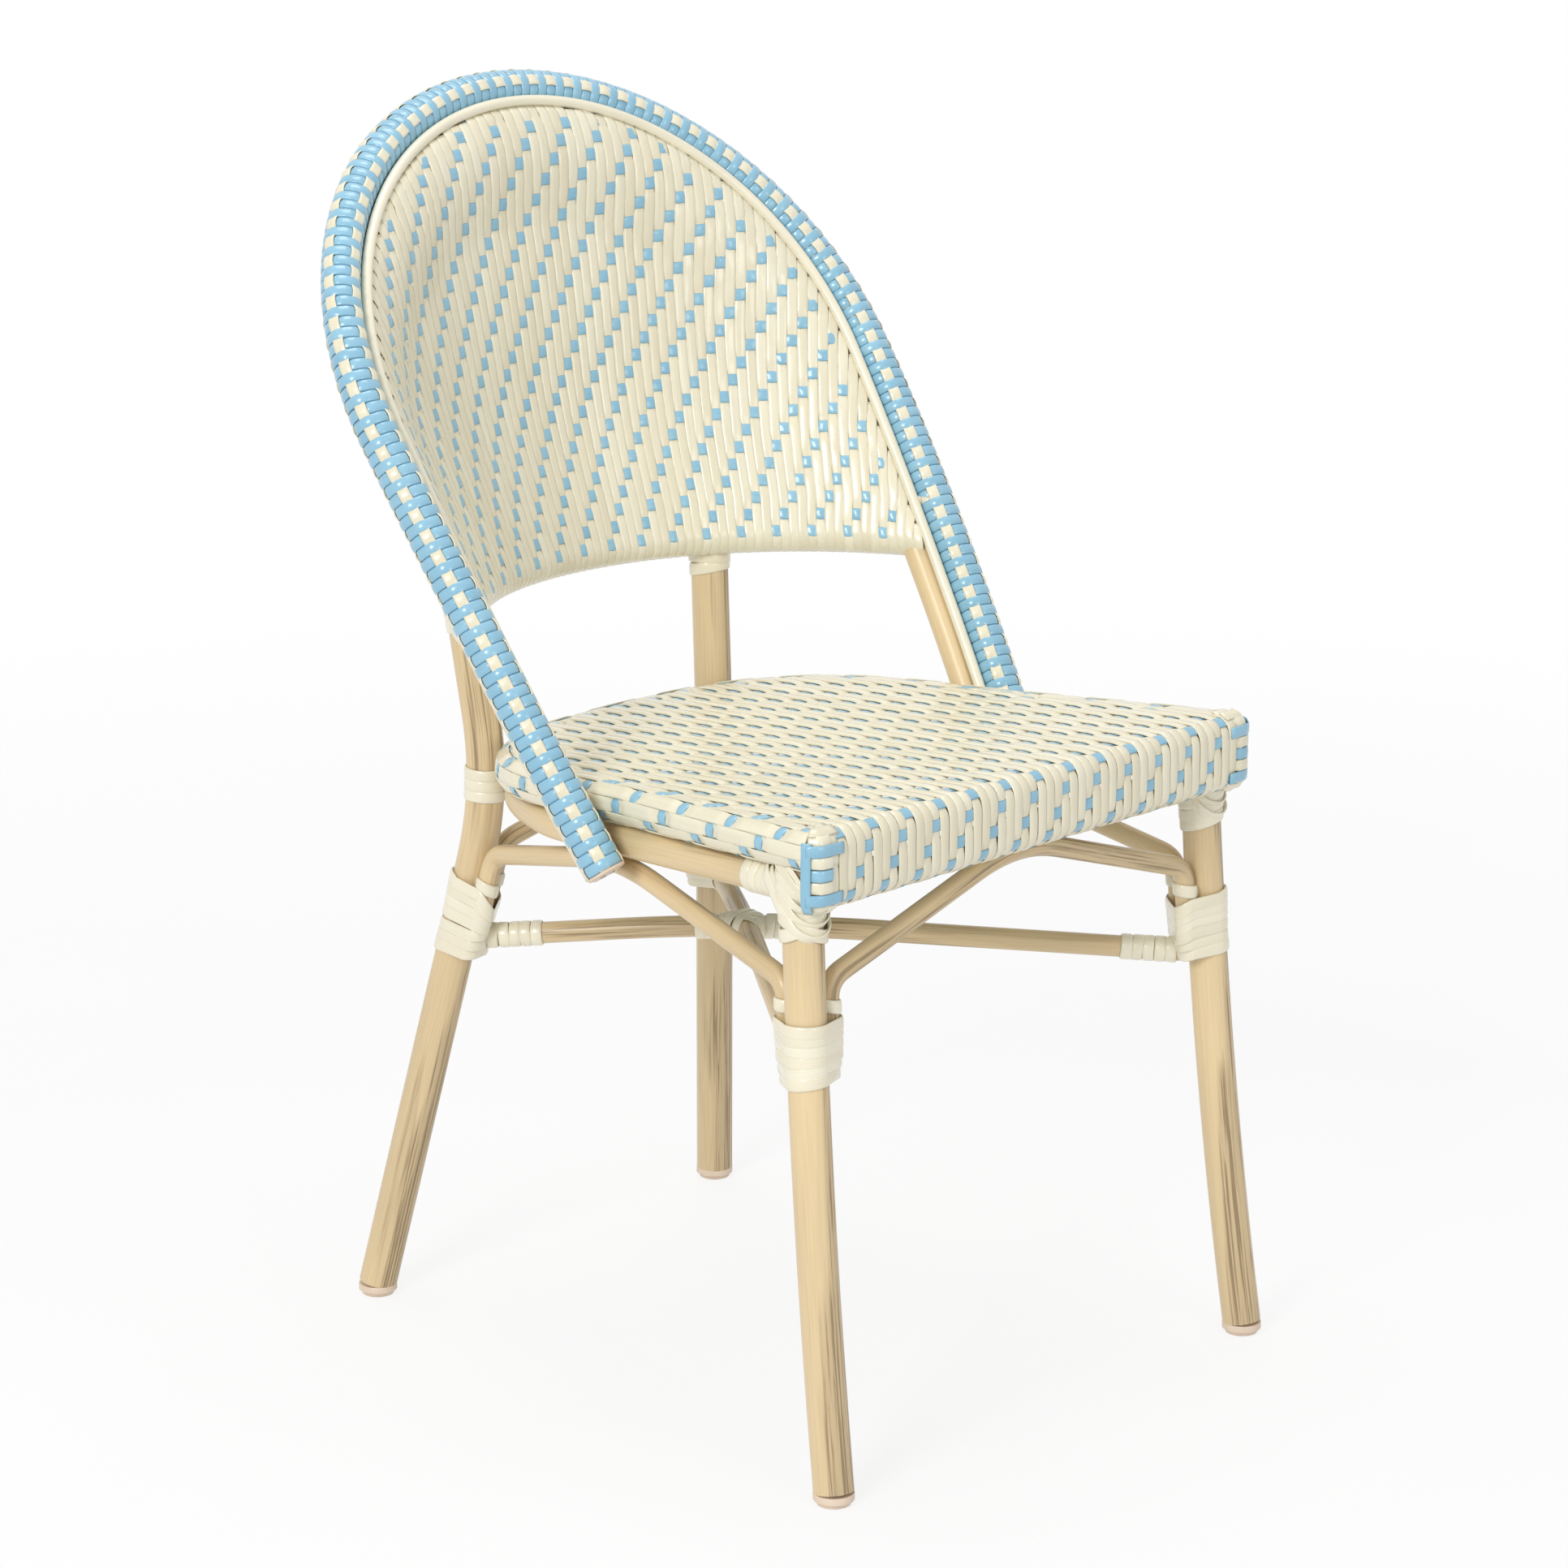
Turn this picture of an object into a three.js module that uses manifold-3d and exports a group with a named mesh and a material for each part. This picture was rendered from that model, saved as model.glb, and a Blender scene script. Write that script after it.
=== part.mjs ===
// Bistro chair in painted aluminium tube with a woven seat and back.
// Millimetres, +Z up. The sitter faces -Y, and left and right are the sitter's own, so left is +X.
// The origin is on the floor, under the middle of the chair's bounding box.

import * as THREE from "three";
import * as BufferGeometryUtils from "three/addons/utils/BufferGeometryUtils.js";
import Module from "manifold-3d";

const wasm = await Module();
wasm.setup();

// Fits and overruns
const clearance = 0.3;

// Legs, one tube size for all four
const legRadius = 13.75;
const legBoreRadius = 11.9;
const frontFoot = { halfSpan: 213, y: -257 };
const frontLegTop = { halfSpan: 200.6, y: -211, z: 440 };
const frontLegSway = { halfSpan: 204.5, y: -222 };
const rearFoot = { halfSpan: 176, y: 243.5 };
const rearLegKink = { halfSpan: 112, y: 180, z: 384 };
const rearLegTop = { halfSpan: 123, y: 197, z: 527 };
const rearLegBend = 55;

// Foot caps pushed into the leg tubes
const capCollarHeight = 5.5;
const capPadHeight = 3;
const capPadRadius = 11.8;
const capStemLength = 14;

// Seat outline, measured on the outside of its weave; points run from the knee of each side to the rear
const seatHeight = 457.5;
const seatSlope = 0.075;
const seatFront = { halfSpan: 225, y: -243.5, cornerRadius: 14 };
const seatSide = [
  { halfSpan: 193, y: -30 },
  { halfSpan: 188, y: 40 },
  { halfSpan: 171, y: 103 },
  { halfSpan: 146, y: 138 },
  { halfSpan: 112, y: 163 },
  { halfSpan: 60, y: 178 },
  { halfSpan: 0, y: 182 },
];
const seatWeaveThickness = 2.5;
const wrapRadius = 12.8;
const apronRadius = 14;
const seatFrameRadius = 9.6;
const sideSkirt = 1;
const apronDepth = 55;

// Tan rails under the weave; the rail points lie on its centre line
const railRadius = 11.2;
const frontRailRadius = 10.9;
const railDrop = 39.9;
const railSide = [
  { halfSpan: 176.5, y: -20 },
  { halfSpan: 169, y: 48 },
  { halfSpan: 153, y: 91 },
  { halfSpan: 130, y: 130 },
  { halfSpan: 107, y: 152 },
  { halfSpan: 60, y: 166 },
  { halfSpan: 0, y: 170 },
];
const frontRailHalf = 204;

// Back arch, drawn in its own plane that leans back
const archLean = 33.4;
const archHalfSpan = 220.5;
const archArmLength = 326.5;
const archArmBend = 2065;
const archFoot = { y: -22, z: 382 };
const archTubeRadius = 10.5;
const archTubeBore = 9;
const braidRadius = 14;
const braidThickness = 2.2;
const coreBore = 9.8;
const pipingRadius = 4;
const armTwist = 49;
const twistEndShare = 0.83;

// Lower back rail and woven back panel
const backRailHeight = 531;
const backRailRadius = 12;
const backRailRear = 213;
const backPanelThickness = 3;
const backPanelTopInset = 9.5;
const spineFootHandle = { y: 37, z: 109 };
const spineTopHandle = { y: 37, z: 99 };

// Arched braces and crossed stretchers
const braceRadius = 7.25;
const braceEndBend = 14;
const braceApexBend = 42;
const braceElbowRise = 12;
const sideBraceApex = { halfSpan: 174, y: -15, z: 381.9 };
const frontBraceApex = { y: -221, z: 399.6 };
const rearBraceApex = { y: 160, z: 370 };
const stretcherRadius = 7.75;
const stretcherCross = { y: 36, z: 291 };
const stretcherBend = 90;
const frontStretcherHeight = 281;
const rearStretcherHeight = 273;

// Strip bindings
const stripWidth = 7.8;
const stripThickness = 1.3;
const stripGap = 0.5;
const frontLashing = { z: 315, turns: 4 };
const rearLashing = { z: 309.5, turns: 4 };
const stretcherLashing = { along: 42, turns: 4 };
const crossingLashing = { along: 21, turns: 1.25 };
const frontCornerLashing = { z: 383, turns: 3 };
const railLashing = { along: 35, turns: 3 };
const backRailLashing = { z: 502, turns: 2 };
const strap = { bottom: 377, top: 400, halfWrap: 115 };

// Plugs and screws in the arch ends
const plugFlange = 2;
const plugStem = 12;
const screwHead = { radius: 2, height: 1.2 };
const screwShank = { radius: 1.1, length: 9 };
const screwSpread = 4.6;

// Facets around each kind of tube, and along curved lengths
const legSides = 10;
const tubeSides = 10;
const boreSides = 6;
const rodSides = 8;
const pipingSides = 6;
const windingSides = 10;
const bendSteps = 4;
const armSteps = 6;
const crownSteps = 14;
const cornerSteps = 4;
const rollSteps = 3;
const panelColumns = 10;

const tan = { color: 0xd9be8b, roughness: 0.45, metalness: 0.1 };
const cream = { color: 0xefe6c9, roughness: 0.3, metalness: 0 };
const blue = { color: 0x8fc3db, roughness: 0.3, metalness: 0 };
const plastic = { color: 0xe3cdb4, roughness: 0.45, metalness: 0 };
const steel = { color: 0xb9bcc0, roughness: 0.3, metalness: 0.9 };

const chair = new THREE.Group();

function addPiece(name, geometry, finish) {
  const mesh = new THREE.Mesh(geometry, new THREE.MeshStandardMaterial(finish));
  mesh.name = name;
  chair.add(mesh);
}

// Corners of a regular polygon on a circle
function polygon(radius, sides) {
  const points = [];
  for (let i = 0; i < sides; i++) {
    const angle = (2 * Math.PI * i) / sides;
    points.push(new THREE.Vector2(radius * Math.cos(angle), radius * Math.sin(angle)));
  }
  return points;
}

// A path through given stations, one per step of the sweep, with its own frames where they are given
class StationPath extends THREE.Curve {
  constructor(stations, normals) {
    super();
    this.stations = stations;
    this.normals = normals;
  }

  getPointAt(share, target = new THREE.Vector3()) {
    return target.copy(this.stations[Math.round(share * (this.stations.length - 1))]);
  }

  getTangentAt(share, target = new THREE.Vector3()) {
    const last = this.stations.length - 1;
    const i = Math.round(share * last);
    const before = this.stations[Math.max(i - 1, 0)];
    const after = this.stations[Math.min(i + 1, last)];
    return target.copy(after).sub(before).normalize();
  }

  computeFrenetFrames(segments, closed) {
    if (!this.normals) return super.computeFrenetFrames(segments, closed);
    const tangents = this.stations.map((station, i) => this.getTangentAt(i / segments));
    const normals = this.normals.map((normal, i) => {
      return normal.clone().addScaledVector(tangents[i], -normal.dot(tangents[i])).normalize();
    });
    const binormals = tangents.map((tangent, i) => tangent.clone().cross(normals[i]));
    return { tangents, normals, binormals };
  }
}

function sweep(stations, outline, { hole, normals } = {}) {
  const shape = new THREE.Shape(outline);
  if (hole) shape.holes.push(new THREE.Path([...hole].reverse()));
  const extrudePath = new StationPath(stations, normals);
  return new THREE.ExtrudeGeometry(shape, { steps: stations.length - 1, extrudePath, bevelEnabled: false });
}

function rod(stations, radius, sides = tubeSides) {
  return sweep(stations, polygon(radius, sides));
}

function tube(stations, radius, boreRadius, sides = tubeSides, innerSides = boreSides) {
  return sweep(stations, polygon(radius, sides), { hole: polygon(boreRadius, innerSides) });
}

// Largest round stem that clears a faceted bore
function stemRadius(boreRadius) {
  return boreRadius * Math.cos(Math.PI / boreSides) - clearance;
}

// Straight runs joined by rounded bends
function bentPath(corners, reaches) {
  const stations = [corners[0].clone()];
  for (let i = 1; i < corners.length - 1; i++) {
    const toBefore = corners[i - 1].clone().sub(corners[i]).normalize();
    const toAfter = corners[i + 1].clone().sub(corners[i]).normalize();
    const start = corners[i].clone().addScaledVector(toBefore, reaches[i - 1]);
    const end = corners[i].clone().addScaledVector(toAfter, reaches[i - 1]);
    stations.push(...new THREE.QuadraticBezierCurve3(start, corners[i], end).getPoints(bendSteps));
  }
  stations.push(corners.at(-1).clone());
  return stations;
}

function solidOf(geometry) {
  const bare = geometry.clone();
  bare.deleteAttribute("normal");
  bare.deleteAttribute("uv");
  const merged = BufferGeometryUtils.mergeVertices(bare);
  const vertProperties = new Float32Array(merged.attributes.position.array);
  const triVerts = new Uint32Array(merged.index.array);
  return new wasm.Manifold(new wasm.Mesh({ numProp: 3, vertProperties, triVerts }));
}

function geometryOf(solid) {
  const mesh = solid.getMesh();
  const geometry = new THREE.BufferGeometry();
  geometry.setAttribute("position", new THREE.BufferAttribute(mesh.vertProperties, 3));
  geometry.setIndex(new THREE.BufferAttribute(mesh.triVerts, 1));
  return geometry;
}

// Cuts one piece to fit its neighbours and keeps the body that is left
function cutBy(geometry, cutters) {
  const cut = cutters.reduce((solid, cutter) => solid.subtract(solidOf(cutter)), solidOf(geometry));
  const parts = cut.decompose();
  return geometryOf(parts.reduce((best, part) => (part.volume() > best.volume() ? part : best)));
}

function joined(...geometries) {
  return geometryOf(geometries.map(solidOf).reduce((whole, solid) => whole.add(solid)));
}

// Where a path that climbs steadily passes a height, and its direction there
function atHeight(stations, z) {
  const i = stations.findIndex((station, k) => k > 0 && station.z >= z);
  const below = stations[i - 1];
  const above = stations[i];
  const point = below.clone().lerp(above, (z - below.z) / (above.z - below.z));
  return { point, direction: above.clone().sub(below).normalize() };
}

// Where a path is at a length from its start, and its direction there
function atLength(stations, length) {
  let left = length;
  let i = 1;
  while (stations[i].distanceTo(stations[i - 1]) < left) {
    left -= stations[i].distanceTo(stations[i - 1]);
    i++;
  }
  const direction = stations[i].clone().sub(stations[i - 1]).normalize();
  return { point: stations[i - 1].clone().addScaledVector(direction, left), direction };
}

function betweenHeights(stations, bottom, top) {
  const inside = stations.filter((station) => station.z > bottom && station.z < top);
  return [atHeight(stations, bottom).point, ...inside, atHeight(stations, top).point];
}

function mirrored(stations, side) {
  return stations.map((station) => new THREE.Vector3(side * station.x, station.y, station.z));
}

// Closed loops stacked one on the other, the first and last filled to their middles
function stackedLoops(loops) {
  const count = loops[0].length;
  const points = loops.flat();
  const index = [];
  for (let i = 0; i < loops.length - 1; i++) {
    for (let j = 0; j < count; j++) {
      const a = i * count + j;
      const b = i * count + ((j + 1) % count);
      index.push(b, a, b + count, b + count, a, a + count);
    }
  }
  const ends = [
    { loop: loops[0], base: 0, facesUp: true },
    { loop: loops.at(-1), base: (loops.length - 1) * count, facesUp: false },
  ];
  for (const { loop, base, facesUp } of ends) {
    points.push(loop.reduce((sum, point) => sum.add(point), new THREE.Vector3()).divideScalar(count));
    for (let j = 0; j < count; j++) {
      const a = base + j;
      const b = base + ((j + 1) % count);
      index.push(...(facesUp ? [a, b, points.length - 1] : [b, a, points.length - 1]));
    }
  }
  const geometry = new THREE.BufferGeometry().setFromPoints(points);
  geometry.setIndex(index);
  return geometry;
}

// Rows of points thickened into one sheet
function thickSheet(rows, thickness) {
  const columns = rows[0].length;
  const at = (i, j) => {
    return rows[THREE.MathUtils.clamp(i, 0, rows.length - 1)][THREE.MathUtils.clamp(j, 0, columns - 1)];
  };
  const front = [];
  const back = [];
  rows.forEach((row, i) => {
    row.forEach((point, j) => {
      const across = at(i, j + 1).clone().sub(at(i, j - 1));
      const along = at(i + 1, j).clone().sub(at(i - 1, j));
      const normal = along.cross(across).normalize();
      front.push(point.clone().addScaledVector(normal, thickness / 2));
      back.push(point.clone().addScaledVector(normal, -thickness / 2));
    });
  });
  const index = [];
  const quad = (a, b, c, d) => index.push(a, b, c, a, c, d);
  const rear = front.length;
  for (let i = 0; i < rows.length - 1; i++) {
    for (let j = 0; j < columns - 1; j++) {
      const a = i * columns + j;
      quad(a, a + columns, a + columns + 1, a + 1);
      quad(rear + a, rear + a + 1, rear + a + columns + 1, rear + a + columns);
    }
  }
  const border = [];
  for (let j = 0; j < columns - 1; j++) border.push(j);
  for (let i = 0; i < rows.length - 1; i++) border.push(i * columns + columns - 1);
  for (let j = columns - 1; j > 0; j--) border.push((rows.length - 1) * columns + j);
  for (let i = rows.length - 1; i > 0; i--) border.push(i * columns);
  border.forEach((a, k) => {
    const b = border[(k + 1) % border.length];
    quad(a, b, rear + b, rear + a);
  });
  const geometry = new THREE.BufferGeometry().setFromPoints([...front, ...back]);
  geometry.setIndex(index);
  return geometry;
}

// Outline of a taut strip round a bundle of round members, as corners in the plane across the bundle
function tautOutline(circles) {
  const corners = circles.flatMap(({ x, y, radius }) => {
    const reach = (radius + clearance + stripThickness / 2) / Math.cos(Math.PI / windingSides);
    return polygon(reach, windingSides).map((point) => point.add(new THREE.Vector2(x, y)));
  });
  corners.sort((a, b) => a.x - b.x || a.y - b.y);
  const halfHull = (points) => {
    const hull = [];
    for (const point of points) {
      while (hull.length > 1) {
        const edge = hull.at(-1).clone().sub(hull.at(-2));
        if (edge.cross(point.clone().sub(hull.at(-1))) > 0) break;
        hull.pop();
      }
      hull.push(point);
    }
    return hull.slice(0, -1);
  };
  return [...halfHull(corners), ...halfHull([...corners].reverse())];
}

const stripOutline = [
  new THREE.Vector2(-stripThickness / 2, -stripWidth / 2),
  new THREE.Vector2(stripThickness / 2, -stripWidth / 2),
  new THREE.Vector2(stripThickness / 2, stripWidth / 2),
  new THREE.Vector2(-stripThickness / 2, stripWidth / 2),
];

// Flat strip wound round the outside of a bundle, in one unbroken helix
function addWinding(name, { centre, axis, members, turns }) {
  const u = new THREE.Vector3(0, 0, 1).addScaledVector(axis, -axis.z);
  if (u.length() < Math.SQRT1_2) u.set(0, 1, 0).addScaledVector(axis, -axis.y);
  u.normalize();
  const v = axis.clone().cross(u);
  const circles = members.map(({ point, radius }) => {
    const offset = point.clone().sub(centre);
    return { x: offset.dot(u), y: offset.dot(v), radius };
  });
  const hull = tautOutline(circles);
  const edges = hull.map((corner, i) => hull[(i + 1) % hull.length].clone().sub(corner));
  const perimeter = edges.reduce((sum, edge) => sum + edge.length(), 0);
  const pitch = stripWidth + stripGap;
  const count = Math.round(turns * hull.length);
  const stations = [];
  const normals = [];
  let along = 0;
  for (let k = 0; k <= count; k++) {
    const i = k % hull.length;
    const before = edges[(i + hull.length - 1) % hull.length];
    const turnAxis = before.clone().normalize().add(edges[i].clone().normalize());
    const station = centre.clone().addScaledVector(u, hull[i].x).addScaledVector(v, hull[i].y);
    stations.push(station.addScaledVector(axis, pitch * (along / perimeter - turns / 2)));
    const out = u.clone().multiplyScalar(turnAxis.y).addScaledVector(v, -turnAxis.x);
    normals.push(out.normalize());
    along += edges[i].length();
  }
  let leastGap = Infinity;
  for (let k = 0; k + hull.length <= count; k++) {
    leastGap = Math.min(leastGap, stations[k].distanceTo(stations[k + hull.length]) - stripWidth);
  }
  console.log(`${name}: least gap between turns ${leastGap.toFixed(2)} mm`);
  addPiece(name, sweep(stations, stripOutline, { normals }), cream);
}

// Seat plane and outlines
function seatTop(y) {
  return seatHeight - seatSlope * (y - seatFront.y);
}

function smoothHalf(points, z) {
  const half = points.map(({ halfSpan, y }) => new THREE.Vector3(halfSpan, y, z(y)));
  const full = [...half, ...mirrored(half, -1).reverse().slice(1)];
  const curve = new THREE.CatmullRomCurve3(full);
  return curve.getPoints(2 * (full.length - 1)).slice(0, full.length);
}

function wholeFrom(half) {
  return [...half, ...mirrored(half, -1).reverse().slice(1)];
}

const seatTaper = Math.atan2(seatFront.halfSpan - seatSide[0].halfSpan, seatSide[0].y - seatFront.y);

function seatOutlineHalf() {
  const { halfSpan, y, cornerRadius } = seatFront;
  const centreX = halfSpan - (cornerRadius + cornerRadius * Math.sin(seatTaper)) / Math.cos(seatTaper);
  const centre = new THREE.Vector3(centreX, y + cornerRadius, 0);
  const half = [new THREE.Vector3(0, y, 0)];
  for (let i = 0; i <= cornerSteps; i++) {
    const angle = THREE.MathUtils.lerp(-Math.PI / 2, seatTaper, i / cornerSteps);
    const out = new THREE.Vector3(Math.cos(angle), Math.sin(angle), 0);
    half.push(centre.clone().addScaledVector(out, cornerRadius));
  }
  return [...half, ...smoothHalf(seatSide, () => 0)];
}

const outlineHalf = seatOutlineHalf();
const outline = wholeFrom(outlineHalf).slice(0, -1);
const outlineInward = outline.map((point, i) => {
  const before = outline[(i + outline.length - 1) % outline.length];
  const along = outline[(i + 1) % outline.length].clone().sub(before).normalize();
  return new THREE.Vector3(-along.y, along.x, 0);
});

function insetLoop(inset, drop) {
  return outline.map((point, i) => {
    const station = point.clone().addScaledVector(outlineInward[i], inset(point));
    return station.setZ(seatTop(point.y) - drop(point));
  });
}

// Seat weave: a sheet over the top that rolls round the frame, and hangs as an apron at the front
const cornerEnd = seatFront.y + seatFront.cornerRadius;

function seatShell(grow) {
  const isFront = (point) => point.y < seatFront.y + clearance;
  const isCorner = (point) => !isFront(point) && point.y < cornerEnd + clearance;
  const bottomRadius = (point) => (isFront(point) ? apronRadius : wrapRadius);
  const bottomDrop = (point) => {
    return isFront(point) || isCorner(point) ? apronDepth - apronRadius : wrapRadius + sideSkirt;
  };
  const lip = (point) => (isCorner(point) ? Math.PI / 4 : Math.PI / 2);
  const outer = grow;
  const inner = -seatWeaveThickness - grow;
  const onRoll = (i) => i % rollSteps !== 0;
  const reachOf = (radius, skin, i) => {
    const widen = skin === inner && onRoll(i) ? 1 / Math.cos(Math.PI / (4 * rollSteps)) : 1;
    return (radius + skin) * widen;
  };
  const upper = (skin, i) => {
    const reach = reachOf(wrapRadius, skin, i);
    const angle = (Math.PI * i) / (2 * rollSteps);
    return insetLoop(
      () => wrapRadius - reach * Math.sin(angle),
      () => wrapRadius - reach * Math.cos(angle),
    );
  };
  const lower = (skin, i) => {
    return insetLoop(
      (point) => bottomRadius(point) - reachOf(bottomRadius(point), skin, i) * Math.cos((lip(point) * i) / rollSteps),
      (point) => bottomDrop(point) + reachOf(bottomRadius(point), skin, i) * Math.sin((lip(point) * i) / rollSteps),
    );
  };
  const steps = Array.from({ length: rollSteps + 1 }, (unused, i) => i);
  const outside = [...steps.map((i) => upper(outer, i)), ...steps.map((i) => lower(outer, i))];
  const inside = [...steps.map((i) => upper(inner, i)), ...steps.map((i) => lower(inner, i))];
  return stackedLoops([...outside, ...inside.reverse()]);
}

const shellCutter = seatShell(clearance);

// Seat frame inside the weave: a bow round the sides and rear, and a straight bar across the front
const ring = insetLoop(
  () => wrapRadius,
  () => wrapRadius,
);
const bowPath = ring.slice(cornerSteps + 1, ring.length - cornerSteps);
const barPath = [ring[1], ring.at(-1)];
const bowCutter = rod(bowPath, seatFrameRadius + clearance);
const barCutter = rod(barPath, seatFrameRadius + clearance);

// Legs
const frontLegPath = new THREE.QuadraticBezierCurve3(
  new THREE.Vector3(frontFoot.halfSpan, frontFoot.y, 0),
  new THREE.Vector3(frontLegSway.halfSpan, frontLegSway.y, frontLegTop.z / 2),
  new THREE.Vector3(frontLegTop.halfSpan, frontLegTop.y, frontLegTop.z),
).getPoints(2 * bendSteps);
const rearLegPath = bentPath(
  [
    new THREE.Vector3(rearFoot.halfSpan, rearFoot.y, 0),
    new THREE.Vector3(rearLegKink.halfSpan, rearLegKink.y, rearLegKink.z),
    new THREE.Vector3(rearLegTop.halfSpan, rearLegTop.y, rearLegTop.z),
  ],
  [rearLegBend],
);

const legs = [
  { name: "front_left", stations: frontLegPath, side: 1, isFront: true },
  { name: "front_right", stations: mirrored(frontLegPath, -1), side: -1, isFront: true },
  { name: "rear_left", stations: rearLegPath, side: 1, isFront: false },
  { name: "rear_right", stations: mirrored(rearLegPath, -1), side: -1, isFront: false },
];
const legNamed = (name) => legs.find((leg) => leg.name === name);
const legCutters = legs.map(({ stations }) => rod(stations, legRadius + clearance, legSides));
const sides = [
  { label: "left", side: 1 },
  { label: "right", side: -1 },
];

// Arch: a half circle on two arms that draw in toward the seat, from the left foot over the crown
const lean = THREE.MathUtils.degToRad(archLean);
const archUp = new THREE.Vector3(0, Math.sin(lean), Math.cos(lean));
const archFront = new THREE.Vector3(0, -Math.cos(lean), Math.sin(lean));

function archPoint(x, along) {
  return new THREE.Vector3(x, archFoot.y, archFoot.z).addScaledVector(archUp, along);
}

function archStations() {
  const arm = [];
  for (let i = 0; i < armSteps; i++) {
    const along = (archArmLength * i) / armSteps;
    const drawnIn = (archArmLength - along) ** 2 / (2 * archArmBend);
    arm.push(archPoint(archHalfSpan - drawnIn, along));
  }
  const arc = [];
  for (let i = 0; i <= crownSteps; i++) {
    const angle = (Math.PI * i) / crownSteps;
    arc.push(archPoint(archHalfSpan * Math.cos(angle), archArmLength + archHalfSpan * Math.sin(angle)));
  }
  return [...arm, ...arc, ...mirrored(arm, -1).reverse()];
}

const innerArch = archStations();
const archPath = new StationPath(innerArch);
const archLast = innerArch.length - 1;
const archTangents = innerArch.map((station, i) => archPath.getTangentAt(i / archLast));

// Direction from the inner tube to the braided one: outward at the crown, turned forward on the arms
const pairOut = archTangents.map((tangent, i) => {
  const outward = tangent.clone().cross(archFront).normalize();
  const fromCrown = Math.abs(2 * i - archLast) / archLast;
  const twist = THREE.MathUtils.degToRad(armTwist * THREE.MathUtils.smoothstep(fromCrown, 0, twistEndShare));
  return outward.multiplyScalar(Math.cos(twist)).addScaledVector(archFront, Math.sin(twist));
});
const pairFront = archTangents.map((tangent, i) => pairOut[i].clone().cross(tangent).normalize());

function archOffset(out, front) {
  return innerArch.map((station, i) => {
    return station.clone().addScaledVector(pairOut[i], out).addScaledVector(pairFront[i], front);
  });
}

const pairSpacing = archTubeRadius + braidRadius + clearance;
const outerArch = archOffset(pairSpacing, 0);
const archTube = tube(innerArch, archTubeRadius, archTubeBore);
const archCutter = rod(innerArch, archTubeRadius + clearance);

// The piping lies in the groove between the two tubes and touches both
const reachInner = archTubeRadius + clearance + pipingRadius;
const reachOuter = braidRadius + clearance + pipingRadius;
const grooveOut = (reachInner ** 2 - reachOuter ** 2 + pairSpacing ** 2) / (2 * pairSpacing);
const grooveFront = Math.sqrt(reachInner ** 2 - grooveOut ** 2);

// Level rows between the two arms, deepest in the middle
function archAtHeight(z) {
  return atHeight(innerArch.slice(0, archLast / 2 + 1), z).point;
}

function rowArc(z, midY, columns) {
  const edge = archAtHeight(z);
  const depth = midY - edge.y;
  const radius = (edge.x ** 2 + depth ** 2) / (2 * depth);
  const half = Math.atan2(edge.x, radius - depth);
  const row = [];
  for (let i = 0; i <= columns; i++) {
    const angle = half * (1 - (2 * i) / columns);
    row.push(new THREE.Vector3(radius * Math.sin(angle), midY - radius * (1 - Math.cos(angle)), z));
  }
  return row;
}

const backRailPath = rowArc(backRailHeight, backRailRear, panelColumns);
const backRailCutter = rod(backRailPath, backRailRadius + clearance);
const crown = archPoint(0, archArmLength + archHalfSpan);
const panelTop = archPoint(0, archArmLength + archHalfSpan - backPanelTopInset).z;
const spine = new THREE.CubicBezierCurve3(
  new THREE.Vector3(0, backRailRear, backRailHeight),
  new THREE.Vector3(0, backRailRear + spineFootHandle.y, backRailHeight + spineFootHandle.z),
  new THREE.Vector3(0, crown.y - spineTopHandle.y, crown.z - spineTopHandle.z),
  crown,
).getPoints(3 * bendSteps);
const panelRows = betweenHeights([...spine], backRailHeight, panelTop);

// Seat rails
const railHeight = (y) => seatTop(y) - railDrop;
const railHalf = [frontLegPath.at(-1).clone(), ...smoothHalf(railSide, railHeight)];
railHalf[0].setZ(railHeight(railHalf[0].y));
const railPath = wholeFrom(railHalf);
const frontRailPoint = new THREE.Vector3(frontRailHalf, seatFront.y + apronRadius, 0);
frontRailPoint.setZ(seatTop(seatFront.y) - apronDepth + apronRadius);
const frontRailPath = [frontRailPoint, ...mirrored([frontRailPoint], -1)];
const railCutter = rod(railPath, railRadius + clearance);

addPiece("seat_frame_bow", cutBy(rod(bowPath, seatFrameRadius), [barCutter]), tan);
addPiece("seat_frame_front_bar", rod(barPath, seatFrameRadius), tan);
addPiece("seat_lower_rail", cutBy(rod(railPath, railRadius), [...legCutters, archCutter]), tan);
addPiece("seat_front_rail", cutBy(rod(frontRailPath, frontRailRadius), legCutters), tan);
addPiece("seat_weave", seatShell(0), cream);

// Foot caps
const capHeight = capPadHeight + capCollarHeight;
const capProfile = [
  new THREE.Vector2(0, 0),
  new THREE.Vector2(capPadRadius, 0),
  new THREE.Vector2(capPadRadius, capPadHeight),
  new THREE.Vector2(legRadius, capPadHeight),
  new THREE.Vector2(legRadius, capHeight),
  new THREE.Vector2(0, capHeight),
];
const slabHeight = 2 * (capHeight + clearance);
const floorSlab = new THREE.BoxGeometry(3 * rearFoot.y, 3 * rearFoot.y, slabHeight);

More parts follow.
